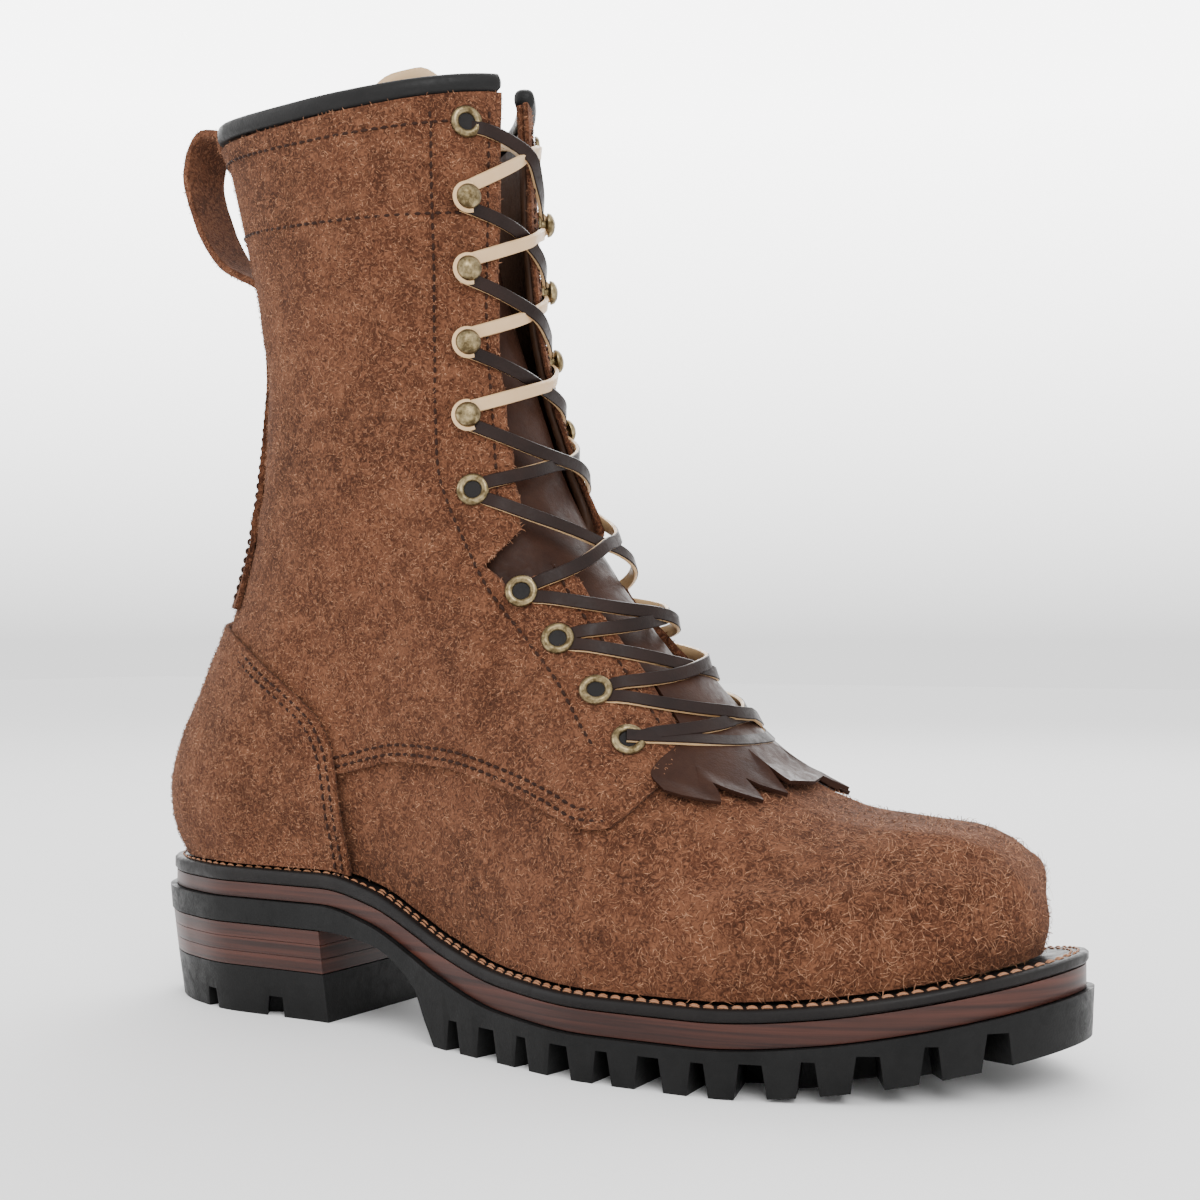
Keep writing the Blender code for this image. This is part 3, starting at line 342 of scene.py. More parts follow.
def along(points, count):
    """Evenly spaced points on a smooth curve through a few chosen ones."""
    points = np.asarray(points, float)
    marks = np.arange(len(points), dtype=float)
    fine = np.linspace(0, len(points) - 1, 40 * len(points))
    line = np.stack([curve_through(fine, marks, points[:, c]) for c in range(points.shape[1])], 1)
    walk = np.concatenate([[0], np.cumsum(np.linalg.norm(np.diff(line, axis=0), axis=1))])
    even = np.linspace(0, walk[-1], count)
    return np.stack([np.interp(even, walk, line[:, c]) for c in range(points.shape[1])], 1), walk[-1]


print("helpers ready")

# %% [markdown]
# Rough-out suede is the flesh side of the hide, brushed up: short curly fibres over a mottled
# ground. Its group makes the mottling, the fibre pattern and a height for the bump. Smooth leather
# has a fine pebble and cloudy colour, and stacked leather shows thin burnished layers.


# %% Node groups
def group(name, inputs, outputs):
    made = bpy.data.node_groups.new(name, "ShaderNodeTree")
    for label, kind, value in inputs:
        socket = made.interface.new_socket(label, in_out="INPUT", socket_type=kind)
        socket.default_value = value
    for label, kind in outputs:
        made.interface.new_socket(label, in_out="OUTPUT", socket_type=kind)
    return made, made.nodes.new("NodeGroupInput"), made.nodes.new("NodeGroupOutput")


FLOAT, COLOUR = "NodeSocketFloat", "NodeSocketColor"


def texture(tree, kind, scale, **values):
    """Noise or Voronoi on the object's own coordinates, scale per metre."""
    place = tree.nodes.new("ShaderNodeTexCoord")
    made = tree.nodes.new(kind)
    tree.links.new(place.outputs["Object"], made.inputs["Vector"])
    made.inputs["Scale"].default_value = scale
    for label, value in values.items():
        made.inputs[label.replace("_", " ")].default_value = value
    return made


def spread(tree, source, low, high, to_low=0.0, to_high=1.0):
    made = tree.nodes.new("ShaderNodeMapRange")
    made.inputs["From Min"].default_value, made.inputs["From Max"].default_value = low, high
    made.inputs["To Min"].default_value, made.inputs["To Max"].default_value = to_low, to_high
    tree.links.new(source, made.inputs["Value"])
    return made.outputs["Result"]


def blend(tree, mask, a, b, kind="MIX"):
    made = tree.nodes.new("ShaderNodeMix")
    made.data_type, made.blend_type = "RGBA", kind
    for socket, value in ((made.inputs[0], mask), (made.inputs[6], a), (made.inputs[7], b)):
        if isinstance(value, (float, tuple)):
            socket.default_value = value
        else:
            tree.links.new(value, socket)
    return made.outputs[2]


def maths(tree, operation, a, b):
    made = tree.nodes.new("ShaderNodeMath")
    made.operation = operation
    for socket, value in zip(made.inputs, (a, b)):
        if isinstance(value, float):
            socket.default_value = value
        else:
            tree.links.new(value, socket)
    return made.outputs[0]


nap, nap_in, nap_out = group(
    "Nap",
    (("Dark", COLOUR, (0.1, 0.04, 0.02, 1)), ("Mid", COLOUR, (0.2, 0.09, 0.05, 1)),
     ("Light", COLOUR, (0.35, 0.17, 0.1, 1))),
    (("Color", COLOUR), ("Height", FLOAT)),
)
clouds = texture(nap, "ShaderNodeTexNoise", 26.0, Detail=4.0, Roughness=0.6).outputs["Fac"]
patches = texture(nap, "ShaderNodeTexNoise", 110.0, Detail=3.0, Roughness=0.6, Distortion=0.6).outputs["Fac"]
curls = texture(nap, "ShaderNodeTexNoise", 540.0, Detail=3.0, Roughness=0.62, Distortion=2.2).outputs["Fac"]
fine = texture(nap, "ShaderNodeTexNoise", 1900.0, Detail=2.0, Roughness=0.6).outputs["Fac"]
ground = blend(nap, spread(nap, clouds, 0.22, 0.62), nap_in.outputs["Dark"], nap_in.outputs["Mid"])
ground = blend(nap, spread(nap, patches, 0.42, 0.72, 0.0, 0.55), ground, nap_in.outputs["Light"])
ground = blend(nap, spread(nap, curls, 0.50, 0.64, 0.0, 0.85), ground, nap_in.outputs["Light"])
ground = blend(nap, spread(nap, curls, 0.34, 0.47, 0.85, 0.0), ground, nap_in.outputs["Dark"])
height = maths(nap, "ADD", maths(nap, "MULTIPLY", curls, 0.75), maths(nap, "MULTIPLY", fine, 0.25))
nap.links.new(ground, nap_out.inputs["Color"])
nap.links.new(height, nap_out.inputs["Height"])

grain, grain_in, grain_out = group(
    "Grain",
    (("Base", COLOUR, (0.1, 0.05, 0.03, 1)), ("Cloud", COLOUR, (0.16, 0.08, 0.05, 1)),
     ("Amount", FLOAT, 0.5)),
    (("Color", COLOUR), ("Height", FLOAT), ("Roughness", FLOAT)),
)
pebble = texture(grain, "ShaderNodeTexVoronoi", 1500.0).outputs["Distance"]
tint = texture(grain, "ShaderNodeTexNoise", 60.0, Detail=5.0, Roughness=0.65).outputs["Fac"]
scuff = texture(grain, "ShaderNodeTexNoise", 240.0, Detail=6.0, Roughness=0.7, Distortion=0.8).outputs["Fac"]
mask = maths(grain, "MULTIPLY", spread(grain, tint, 0.35, 0.7), grain_in.outputs["Amount"])
clouded = blend(grain, mask, grain_in.outputs["Base"], grain_in.outputs["Cloud"])
grain.links.new(clouded, grain_out.inputs["Color"])
grain.links.new(maths(grain, "ADD", maths(grain, "MULTIPLY", pebble, 0.6),
                      maths(grain, "MULTIPLY", scuff, 0.5)), grain_out.inputs["Height"])
grain.links.new(spread(grain, scuff, 0.3, 0.7, 0.28, 0.62), grain_out.inputs["Roughness"])
print("node groups:", nap.name, grain.name)


# %% Finishes
def finish(name, roughness=0.5, metallic=0.0, coat=0.0, sheen=0.0, specular=0.5):
    made = bpy.data.materials.new(name)
    made.use_nodes = True
    shader = made.node_tree.nodes["Principled BSDF"]
    shader.inputs["Roughness"].default_value = roughness
    shader.inputs["Metallic"].default_value = metallic
    shader.inputs["Coat Weight"].default_value = coat
    shader.inputs["Coat Roughness"].default_value = 0.25
    shader.inputs["Sheen Weight"].default_value = sheen
    shader.inputs["Sheen Roughness"].default_value = 0.6
    shader.inputs["Specular IOR Level"].default_value = specular
    return made, made.node_tree, shader


def place_group(tree, which, **values):
    made = tree.nodes.new("ShaderNodeGroup")
    made.node_tree = which
    for label, value in values.items():
        made.inputs[label].default_value = value
    return made


def bumped(tree, shader, height, strength, distance):
    bump = tree.nodes.new("ShaderNodeBump")
    bump.inputs["Strength"].default_value = strength
    bump.inputs["Distance"].default_value = distance * MM
    tree.links.new(height, bump.inputs["Height"])
    tree.links.new(bump.outputs["Normal"], shader.inputs["Normal"])


def suede_finish(name, dark, mid, light, strength=0.9):
    made, tree, shader = finish(name, roughness=0.95, sheen=0.08, specular=0.1)
    shader.inputs["Sheen Tint"].default_value = (0.8, 0.55, 0.42, 1.0)
    placed = place_group(tree, nap, Dark=(*dark, 1), Mid=(*mid, 1), Light=(*light, 1))
    tree.links.new(placed.outputs["Color"], shader.inputs["Base Color"])
    bumped(tree, shader, placed.outputs["Height"], strength, 0.9)
    return made


def leather_finish(name, base, cloud, amount, strength, **values):
    made, tree, shader = finish(name, **values)
    placed = place_group(tree, grain, Base=(*base, 1), Cloud=(*cloud, 1), Amount=amount)
    tree.links.new(placed.outputs["Color"], shader.inputs["Base Color"])
    tree.links.new(placed.outputs["Roughness"], shader.inputs["Roughness"])
    bumped(tree, shader, placed.outputs["Height"], strength, 0.25)
    return made


SUEDE = suede_finish("rough suede", (0.026, 0.0088, 0.0045), (0.084, 0.030, 0.0150), (0.195, 0.080, 0.041))
FIBRE = suede_finish("suede fibres", (0.068, 0.025, 0.013), (0.20, 0.086, 0.046), (0.40, 0.205, 0.117), 0.3)
LINING = leather_finish("lining leather", (0.040, 0.019, 0.011), (0.070, 0.035, 0.020),
                        0.6, 0.3, specular=0.15)
BLACK = leather_finish("black edge leather", (0.006, 0.005, 0.005), (0.014, 0.012, 0.011),
                       0.6, 0.15, coat=0.04, specular=0.14)
BINDING = leather_finish("black binding leather", (0.008, 0.008, 0.008), (0.016, 0.015, 0.015),
                         0.6, 0.25, specular=0.15)
DARK = leather_finish("dark brown leather", (0.024, 0.0100, 0.0065), (0.050, 0.0225, 0.0140),
                      0.7, 0.25, specular=0.08)
LACE = leather_finish("lace leather", (0.010, 0.005, 0.004), (0.024, 0.012, 0.009), 0.6, 0.2, specular=0.15)
PALE = leather_finish("lace edge", (0.56, 0.36, 0.18), (0.68, 0.48, 0.27), 0.6, 0.2)
BOARD = leather_finish("insole leather", (0.36, 0.22, 0.12), (0.45, 0.3, 0.18), 0.6, 0.2)
RUBBER = leather_finish("black rubber", (0.006, 0.006, 0.006), (0.013, 0.013, 0.013), 0.7, 0.2, specular=0.12)
THREAD = leather_finish("copper thread", (0.27, 0.12, 0.06), (0.40, 0.21, 0.12), 0.6, 0.2, specular=0.2)
BROWN_THREAD = leather_finish("brown thread", (0.020, 0.008, 0.005), (0.035, 0.015, 0.009),
                              0.6, 0.2, specular=0.1)

BRASS, tree, shader = finish("antique brass", roughness=0.34, metallic=1.0)
tarnish = texture(tree, "ShaderNodeTexNoise", 420.0, Detail=5.0, Roughness=0.65).outputs["Fac"]
aged = blend(tree, spread(tree, tarnish, 0.38, 0.66), (0.085, 0.060, 0.028, 1.0), (0.34, 0.265, 0.145, 1.0))
tree.links.new(aged, shader.inputs["Base Color"])
tree.links.new(spread(tree, tarnish, 0.3, 0.7, 0.5, 0.26), shader.inputs["Roughness"])

STACK, tree, shader = finish("mahogany stack", roughness=0.4, coat=0.08, specular=0.25)
streaks = tree.nodes.new("ShaderNodeTexNoise")
stretch = tree.nodes.new("ShaderNodeMapping")
spot = tree.nodes.new("ShaderNodeTexCoord")
stretch.inputs["Scale"].default_value = (14.0, 14.0, 620.0)
streaks.inputs["Scale"].default_value = 1.0
streaks.inputs["Detail"].default_value = 5.0
tree.links.new(spot.outputs["Object"], stretch.inputs["Vector"])
tree.links.new(stretch.outputs["Vector"], streaks.inputs["Vector"])
tree.links.new(blend(tree, spread(tree, streaks.outputs["Fac"], 0.36, 0.66), (0.020, 0.006, 0.004, 1.0),
                     (0.062, 0.018, 0.011, 1.0)), shader.inputs["Base Color"])
bumped(tree, shader, streaks.outputs["Fac"], 0.3, 0.2)
print("finishes:", len(bpy.data.materials))

# %% [markdown]
# The upper, its quarters and the counter are fine skins of one form, at rising distances from it.
# Soft troughs and ridges mark where the hide bends, and a little noise keeps it from looking moulded.

# %% Skins of the upper
CREASES = (
    # level, angle, reach in levels, reach in degrees, depth in mm
    (0.640, -118.0, 0.012, 34.0, 0.9), (0.672, -132.0, 0.014, 30.0, -0.6), (0.700, -120.0, 0.012, 36.0, 0.7),
    (0.640, 118.0, 0.012, 34.0, 0.9), (0.690, 126.0, 0.014, 34.0, 0.7), (0.620, 178.0, 0.020, 30.0, 0.6),
    (0.585, -66.0, 0.016, 22.0, 0.8), (0.610, -72.0, 0.012, 18.0, -0.5), (0.585, 66.0, 0.016, 22.0, 0.8),
    (0.405, -74.0, 0.020, 20.0, 0.5), (0.405, 74.0, 0.020, 20.0, 0.5),
)


VAMP_MARGIN, THROAT_DEPTH = 0.8, 24
# the shaft's axis in x, the height where it starts, and the foot's axis from heel to toe
SHAFT_AXIS, ANKLE_HEIGHT, FOOT_AXIS = -68.0, 110.0, (-75.0, 110.0)


def relief(t, angle, rough):
    """How far a skin stands proud at a place: creases, then lumps."""
    rise = np.zeros(np.broadcast(t, angle).shape)
    for level, turn_at, reach, reach_angle, depth in CREASES:
        off = (np.mod(angle - turn_at + 180, 360) - 180) / reach_angle
        rise -= depth * np.exp(-((t - level) / reach) ** 2 - off ** 2)
    places = skin(t, angle)
    lumps = [noise.noise(Vector(p * 0.055)) * 0.45 + noise.noise(Vector(p * 0.35)) * rough
             for p in places.reshape(-1, 3)]
    return rise + np.array(lumps).reshape(rise.shape)


def fine_shell(name, inner, outer, low, high, levels, count, slot, rough=0.12):
    """Fine closed band of the form between two distances and two levels."""
    angles = np.linspace(-180, 180, count, endpoint=False)
    rows = np.linspace(low, high, levels)
    t, a = np.meshgrid(rows, angles, indexing="ij")
    proud = relief(t, a, rough)
    points = np.concatenate([skin(t, a, outer + proud), skin(t, a, inner + proud * (inner >= 0))[::-1]])
    return add_mesh(name, points.reshape(-1, 3), loop_faces(2 * levels, count, True), SUEDE, slot, 60.0)


def prism(outline, reach=90.0):
    n = len(outline)
    points = [(x, y, z) for y in (-reach, reach) for x, z in outline]
    faces = [(k, (k + 1) % n, n + (k + 1) % n, n + k) for k in range(n)]
    faces += [tuple(range(n)), tuple(range(2 * n - 1, n - 1, -1))]
    return add_mesh("prism", points, faces, SUEDE, None)


def seam(table, count):
    seat = float(layer(0.0, 4))
    line, _ = along([(x * LENGTH / 2, seat + up * SHAFT_RISE) for x, up in table], count)
    return line


def throat_tool(table, extra):
    """The throat's opening as a solid, with its notch at the ankle."""
    rows = []
    for first, last in zip(table[:-1], table[1:]):
        steps = max(2, int((last[0] - first[0]) / 0.006))
        rows += [first + (last - first) * np.array((k / steps, ease(k / steps), ease(k / steps)))
                 for k in range(steps)]
    rows.append(table[-1])
    points = []
    for t, outer, inner in rows:
        front = skin(min(t, 1.0), 0.0)
        step = front - skin(min(t, 1.0) - 0.02, 0.0)
        step /= np.linalg.norm(step)
        out = np.array((step[2], 0.0, -step[0]))
        front = front + step * max(t - 1.0, 0.0) * SHAFT_RISE * 2
        for way, side in ((-1, -1), (-1, 1), (1, 1), (1, -1)):
            point = front + out * way * THROAT_DEPTH
            reach = (outer if side < 0 else inner) + extra
            points.append((point[0], front[1] + side * reach, point[2]))
    return add_mesh("throat tool", points, tube_faces(len(rows), 4), SUEDE, None)


upper = fine_shell("vamp_and_lining", -WALL, 0.0, 0.0, 1.0, 120, 168, "suede")
cut(upper, throat_tool(VAMP_THROAT, VAMP_MARGIN))
upper.data.materials.append(LINING)
lined = 0
for face in upper.data.polygons:
    place, facing = np.array(face.center) / MM, np.array(face.normal)
    if place[2] > ANKLE_HEIGHT:
        axis = (SHAFT_AXIS, 0.0, place[2])
    else:
        axis = (np.clip(place[0], *FOOT_AXIS), 0.0, place[2] * 0.7)
    if np.dot(place - axis, facing) < 0:
        face.material_index = 1
        lined += 1
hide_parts("upper")
print("lining faces:", lined)

quarters = fine_shell("suede_quarters", GAP, QUARTER_OUT, 0.10, 1.0, 112, 168, "suede")
edge = [tuple(p) for p in seam(QUARTER_SEAM, 60)]
top = float(layer(0.0, 4)) + SHAFT_RISE * 1.1
rear = [(edge[-1][0] + 40, edge[-1][1] + 25), (60, top), (-200, top), (-200, edge[0][1])]
cut(quarters, prism(edge + rear), "INTERSECT")
cut(quarters, throat_tool(THROAT, 0.0))
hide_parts("quarters")

counter = fine_shell("suede_counter", COUNTER_IN, COUNTER_OUT, 0.0, 0.66, 80, 168, "suede")
edge = [tuple(p) for p in seam(COUNTER_SEAM, 40)]
cut(counter, prism(edge + [(-220, edge[-1][1]), (-220, edge[0][1])]), "INTERSECT")
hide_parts("counter")
print("faces:", len(upper.data.polygons), len(quarters.data.polygons), len(counter.data.polygons))

# %% [markdown]
# The backstay covers the seam at the back and leaves it near the top as a pull loop. Both are straps
# of the same suede. The binding is one rolled strip of black leather round the collar's edge.

# %% Backstay, pull loop and binding
BACKSTAY_WIDTH, BACKSTAY_FOOT, BACKSTAY_ROOM, BACKSTAY_TOP = 17.0, 32.0, 0.4, 0.875
BINDING_HEIGHT, BINDING_WIDTH, BINDING_END = 6.2, 6.4, 15.0
LOOP_WALL, LOOP_REACH = 2.4, 17.5
BACKSTAY_OUT = QUARTER_OUT + BACKSTAY_ROOM + BACKSTAY_WALL


def sheet(name, t, angle, inner, outer, finish_of, slot, smooth=45.0):
    """Closed sheet over a grid of levels and angles between two distances."""
    n, m = t.shape
    points = np.concatenate([skin(t, angle, outer).reshape(-1, 3), skin(t, angle, inner).reshape(-1, 3)])
    faces = []
    for i in range(n - 1):
        for j in range(m - 1):
            a = i * m + j
            faces.append((a, a + 1, a + m + 1, a + m))
            faces.append((a + n * m, a + n * m + m, a + n * m + m + 1, a + n * m + 1))
    rim = list(range(m)) + [i * m + m - 1 for i in range(1, n)]
    rim += [(n - 1) * m + j for j in range(m - 2, -1, -1)] + [i * m for i in range(n - 2, 0, -1)]
    faces += [(a, b, b + n * m, a + n * m) for a, b in zip(rim, rim[1:] + rim[:1])]
    return add_mesh(name, points, faces, finish_of, slot, smooth)


def half_girth(rows):
    return (skin(rows, 90.0)[:, 1] - skin(rows, -90.0)[:, 1]) / 2


rows = np.linspace(0.552, BACKSTAY_TOP + 0.005, 66)
backstay_wide = lambda t: BACKSTAY_WIDTH + (BACKSTAY_FOOT - BACKSTAY_WIDTH) * ease((BACKSTAY_TOP - t) / 0.2)
turns = np.degrees(np.arcsin(backstay_wide(rows) / 2 / half_girth(rows)))
t, share = np.meshgrid(rows, np.linspace(-1, 1, 17), indexing="ij")
angle = 180 + share * turns[:, None]
backstay = sheet("suede_backstay", t, angle, QUARTER_OUT + GAP * 0.5, BACKSTAY_OUT + relief(t, angle, 0.12),
                 SUEDE, "suede")
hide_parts("backstay")

foot, top_point = skin(BACKSTAY_TOP, 180.0), skin(1.0, 180.0)
rise = top_point[2] - foot[2]
back = top_point[0] - BACKSTAY_OUT
loop_path, _ = along([
    (foot[0] - QUARTER_OUT - SEAT_ROOM - LOOP_WALL / 2 - 2 * GAP, foot[2] + 4 * GAP),
    (back - LOOP_REACH * 0.10, foot[2] + rise * 0.22), (back - LOOP_REACH * 0.72, foot[2] + rise * 0.58),
    (back - LOOP_REACH, foot[2] + rise * 0.92), (back - LOOP_REACH * 0.93, foot[2] + rise * 1.10),
    (back - LOOP_REACH * 0.60, foot[2] + rise * 1.24), (back - LOOP_REACH * 0.22, foot[2] + rise * 1.22),
    (back - SEAT_ROOM - 2 * GAP, foot[2] + rise * 1.06),
], 48)
points = []
for i, (x, z) in enumerate(loop_path):
    step = loop_path[min(i + 1, 47)] - loop_path[max(i - 1, 0)]
    step /= np.linalg.norm(step)
    side = np.array((step[1], -step[0])) * LOOP_WALL / 2
    half = BACKSTAY_WIDTH / 2 + 0.8
    ring = [(-1, y) for y in np.linspace(-half, half, 7)] + [(1, y) for y in np.linspace(half, -half, 7)]
    for s, y in ring:
        lump = 0.2 * noise.noise(Vector((x, y * 2, z)) * 0.3)
        points.append((x + side[0] * (s + lump), foot[1] + y, z + side[1] * (s + lump)))
pull_loop = bevel(add_mesh("suede_pull_loop", points, tube_faces(48, 14), SUEDE, "suede", 50.0), 0.35)
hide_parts("pull_loop")

middle = (QUARTER_OUT - WALL) / 2
start = BINDING_END
turn_list = np.linspace(start, 360 - start, 150)
points = []
for a in turn_list:
    inner_edge = skin(1.0, a, middle - BINDING_WIDTH / 2)
    outer_edge = skin(1.0, a, middle + BINDING_WIDTH / 2)
    end = min(a - start, 360 - start - a)
    shrink = min(1.0, 0.55 + end / 3.0)
    for k in range(20):
        around = math.radians(18 * k)
        across = 0.5 + 0.5 * shrink * np.sign(math.cos(around)) * abs(math.cos(around)) ** 0.75
        lift = 0.5 + 0.5 * shrink * np.sign(math.sin(around)) * abs(math.sin(around)) ** 0.75
        place = inner_edge + (outer_edge - inner_edge) * across
        points.append((place[0], place[1], inner_edge[2] + 0.1 + BINDING_HEIGHT * lift))
binding = add_mesh("leather_binding", points, tube_faces(150, 20), BINDING, "edge_leather", 60.0)
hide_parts("collar_binding")
print("binding points:", len(points))

# %% [markdown]
# The tongue is a smooth dark sheet behind the facings that leans back above the ankle. The kiltie
# lies over the throat's foot, and its toe edge is cut into a fringe of pointed strips.

# %% Tongue and kiltie
TONGUE_ROOM, TONGUE_WALL, TONGUE_LEAN = 0.9, 2.0, 16.0
KILTIE_ROOM, KILTIE_WALL, KILTIE_CURL, KILTIE_TOP = 0.9, 1.3, 1.6, 0.520
FRINGE, STRIP_COLUMNS, KILTIE_ROWS = 7, 8, 40
t, angle = np.meshgrid(np.linspace(0.38, 0.945, 90), np.linspace(-62, 62, 64), indexing="ij")
lean = TONGUE_LEAN * ease((t - 0.78) / 0.22)
sag = np.array([noise.noise(Vector((a * 0.05, b * 22, 1.0))) * 0.5 for a, b in zip(angle.ravel(), t.ravel())])
lean = lean + 0.3 + np.abs(sag.reshape(t.shape)) * np.cos(np.radians(angle * 1.4))
tongue_face = -WALL - TONGUE_ROOM - lean
tongue = sheet("leather_tongue", t, angle, tongue_face - TONGUE_WALL, tongue_face, DARK, "smooth_leather")
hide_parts("tongue")

columns = FRINGE * STRIP_COLUMNS + 1
# level, then the angle of the kiltie's outer edge there
spread_rows = np.array([
    (0.350, 43.0), (0.385, 41.0), (0.410, 36.0), (0.436, 28.0), (0.462, 23.5), (0.520, 22.0),
])
levels = np.linspace(KILTIE_TOP, 0.350, KILTIE_ROWS)
share = np.linspace(-1, 1, columns)
saw = np.abs((np.arange(columns) % STRIP_COLUMNS) / (STRIP_COLUMNS / 2) - 1)
foot_edge = 0.384 + 0.046 * (1 - np.abs(share) ** 1.2) - 0.034 * (1 - saw) ** 0.8
drop = np.linspace(0, 1, KILTIE_ROWS)[:, None]
t = KILTIE_TOP + (foot_edge - KILTIE_TOP)[None] * drop
angle = curve_through(levels, spread_rows[:, 0], spread_rows[:, 1])[:, None] * share[None]
angle = np.where(angle > 0, 0.65 * angle, angle)
tips = np.clip((np.arange(KILTIE_ROWS) - 30) / 9, 0, 1)
waves = 0.5 + 0.5 * np.sin(np.arange(columns) / STRIP_COLUMNS * 2.4)
under = KILTIE_ROOM + KILTIE_CURL * tips[:, None] * waves[None]
kiltie = sheet("leather_kiltie", t, angle, under, under + KILTIE_WALL, DARK, "smooth_leather")
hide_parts("kiltie")
print("fringe strips:", FRINGE)

# %% [markdown]
# Eyelets are rolled rings of antique brass, and speed hooks have a domed head on a short neck. Each
# is turned from a profile, in the surface's own directions at its place.


# %% Eyelets and hooks
def axes_at(t, angle):
    normal = skin(t, angle, 1.0) - skin(t, angle)
    normal /= np.linalg.norm(normal)
    up = skin(t + 0.01, angle) - skin(t - 0.01, angle)
    up -= normal * np.dot(up, normal)
    up /= np.linalg.norm(up)
    return normal, up, np.cross(up, normal)


def turned(name, place, axes, rows, sides, closed):
    """Turned brass piece; a closed one is a ring with a black disc in its hole, which paints the hole's
    shade.
    """
    normal, first_way, second = axes
    around = np.linspace(0, 2 * np.pi, sides, endpoint=False)
    ways = [first_way * math.cos(a) + second * math.sin(a) for a in around]
    # an eyelet gets one more ring: the rim of a black disc of painted shade that fills its hole
    rows = [*rows, (SHADE_DISC_RADIUS, SHADE_DISC_RISE)] if closed else rows
    points = [place + normal * rise + radius * way for radius, rise in rows for way in ways]
    if closed:
        last = (len(rows) - 1) * sides
        faces = loop_faces(len(rows) - 1, sides, True) + [tuple(range(last, last + sides))]
    else:
        faces = tube_faces(len(rows), sides)
    made = add_mesh(name, points, faces, BRASS, "brass", 50.0)
    # the disc takes the black finish: painted shade standing for the dark of the eyelet's hole
    if closed:
        made.data.materials.append(BLACK)
        for face in made.data.polygons:
            face.material_index = 1 if len(face.vertices) == sides else 0
    return made


# radius and rise in mm of the black disc that paints the shade in each eyelet's hole
SHADE_DISC_RADIUS, SHADE_DISC_RISE = 2.7, 0.3
EYELET_TURNS = np.linspace(0, 2 * np.pi, 14, endpoint=False)
EYELET_ROWS = [(3.75 + 1.25 * math.cos(a), 0.15 + 1.15 * max(math.sin(a), -0.1)) for a in EYELET_TURNS]
HOOK_ROWS = (
    (3.8, 0.0), (3.6, 0.7), (1.8, 1.1), (1.6, 2.2), (2.6, 2.7),
    (3.8, 2.9), (3.9, 3.3), (3.5, 4.2), (2.4, 5.0), (0.9, 5.4),
)
for index, (t_at, angle_at, kind) in enumerate(LACING):
    for side, word in ((-1, "lateral"), (1, "medial")):
        axes = axes_at(t_at, side * angle_at)
        place = skin(t_at, side * angle_at, QUARTER_OUT + 0.35)
        node = f"{kind}_{word}_{index + 1:02d}"
        rows = EYELET_ROWS if kind == "eyelet" else HOOK_ROWS
        made = turned(f"brass_{node}", place, axes, rows, 28, kind == "eyelet")
        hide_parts(node)
print("brass pieces:", 2 * len(LACING))

# %% [markdown]
# The lace is a flat leather thong, dark outside and pale on its cut edges. It comes out of each
# eyelet, crosses the throat over the other strand and goes down past the opposite facing. On the
# hooks it runs round the neck under the dome and back across.

# %% Lace
LACE_WIDTH, LACE_THICKNESS, STRAND_POINTS = 4.0, 1.5, 34
# how far inside its place a strand begins or ends in degrees, and its rise there in mm
STRAND_START = {"eyelet": (1.0, -3.4), "hook": (-2.6, 0.4)}
STRAND_STOP = {"eyelet": (0.0, -3.0), "hook": (-2.6, 0.4)}


def strip(name, line, ups, twist=None, pale_top=False):
    """Flat strip along a line: one face dark, the other face and the edges pale."""
    line, ups = np.asarray(line, float), np.asarray(ups, float)
    run = np.gradient(line, axis=0)
    run /= np.linalg.norm(run, axis=1, keepdims=True)
    across = np.cross(run, ups)
    across /= np.linalg.norm(across, axis=1, keepdims=True)
    lift = np.cross(across, run)
    if twist is not None:
        c, s = np.cos(twist)[:, None], np.sin(twist)[:, None]
        across, lift = across * c + lift * s, lift * c - across * s
    half, thick = LACE_WIDTH / 2, LACE_THICKNESS / 2
    corners = ((1, 0.55), (0.88, 1), (-0.88, 1), (-1, 0.55), (-1, -0.7), (-0.85, -1), (0.85, -1), (1, -0.7))
    points = np.stack([line + across * half * a + lift * thick * b for a, b in corners], 1).reshape(-1, 3)
    made = add_mesh(name, points, tube_faces(len(line), 8), LACE, "lace_leather", 50.0, clean=False)
    made.data.materials.append(PALE)
    for k, face in enumerate(made.data.polygons):
        dark_side = (4, 5, 6) if pale_top else (0, 1, 2)
        face.material_index = 0 if k % 8 in dark_side else 1
    return made


def strand_line(start, stop, over):
    """Route between two lacing places: centre lifted, one strand over the other."""
    share = np.linspace(0, 1, STRAND_POINTS)
    t = start[0] + (stop[0] - start[0]) * share
    angle = start[1] + (stop[1] - start[1]) * share
    lift = 3.3 + over * np.exp(-((share - 0.5) / 0.14) ** 2)
    lift = lift + start[2] * np.clip(1 - share / 0.10, 0, 1) ** 2
    lift = lift + stop[2] * np.clip((share - 0.90) / 0.10, 0, 1) ** 2
    places = skin(t, angle, lift)
    return places, skin(t, angle, lift + 1.0) - places


for index in range(len(LACING) - 1):
    (t0, a0, kind0), (t1, a1, kind1) = LACING[index], LACING[index + 1]
    for side, word in ((-1, "outer"), (1, "inner")):
        (reach0, dip0), (reach1, dip1) = STRAND_START[kind0], STRAND_STOP[kind1]
        begin = (t0 + 0.004, side * (a0 - reach0), dip0)
        end = (t1 - 0.004, -side * (a1 - reach1), dip1)
        over = 1.3 if (side > 0) == (index % 2 == 0) else -0.5
        line, ups = strand_line(begin, end, over)
        wave = np.sin(np.linspace(0, math.pi, STRAND_POINTS))
        twist = side * 0.35 * wave * (1 + 0.3 * (index % 3))
        made = strip(f"lace_{word}_{index + 1}", line, ups, twist, side < 0 and kind0 == "hook")
        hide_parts(f"lace_crossing_{index + 1}")
print("lace strands:", 2 * (len(LACING) - 1))

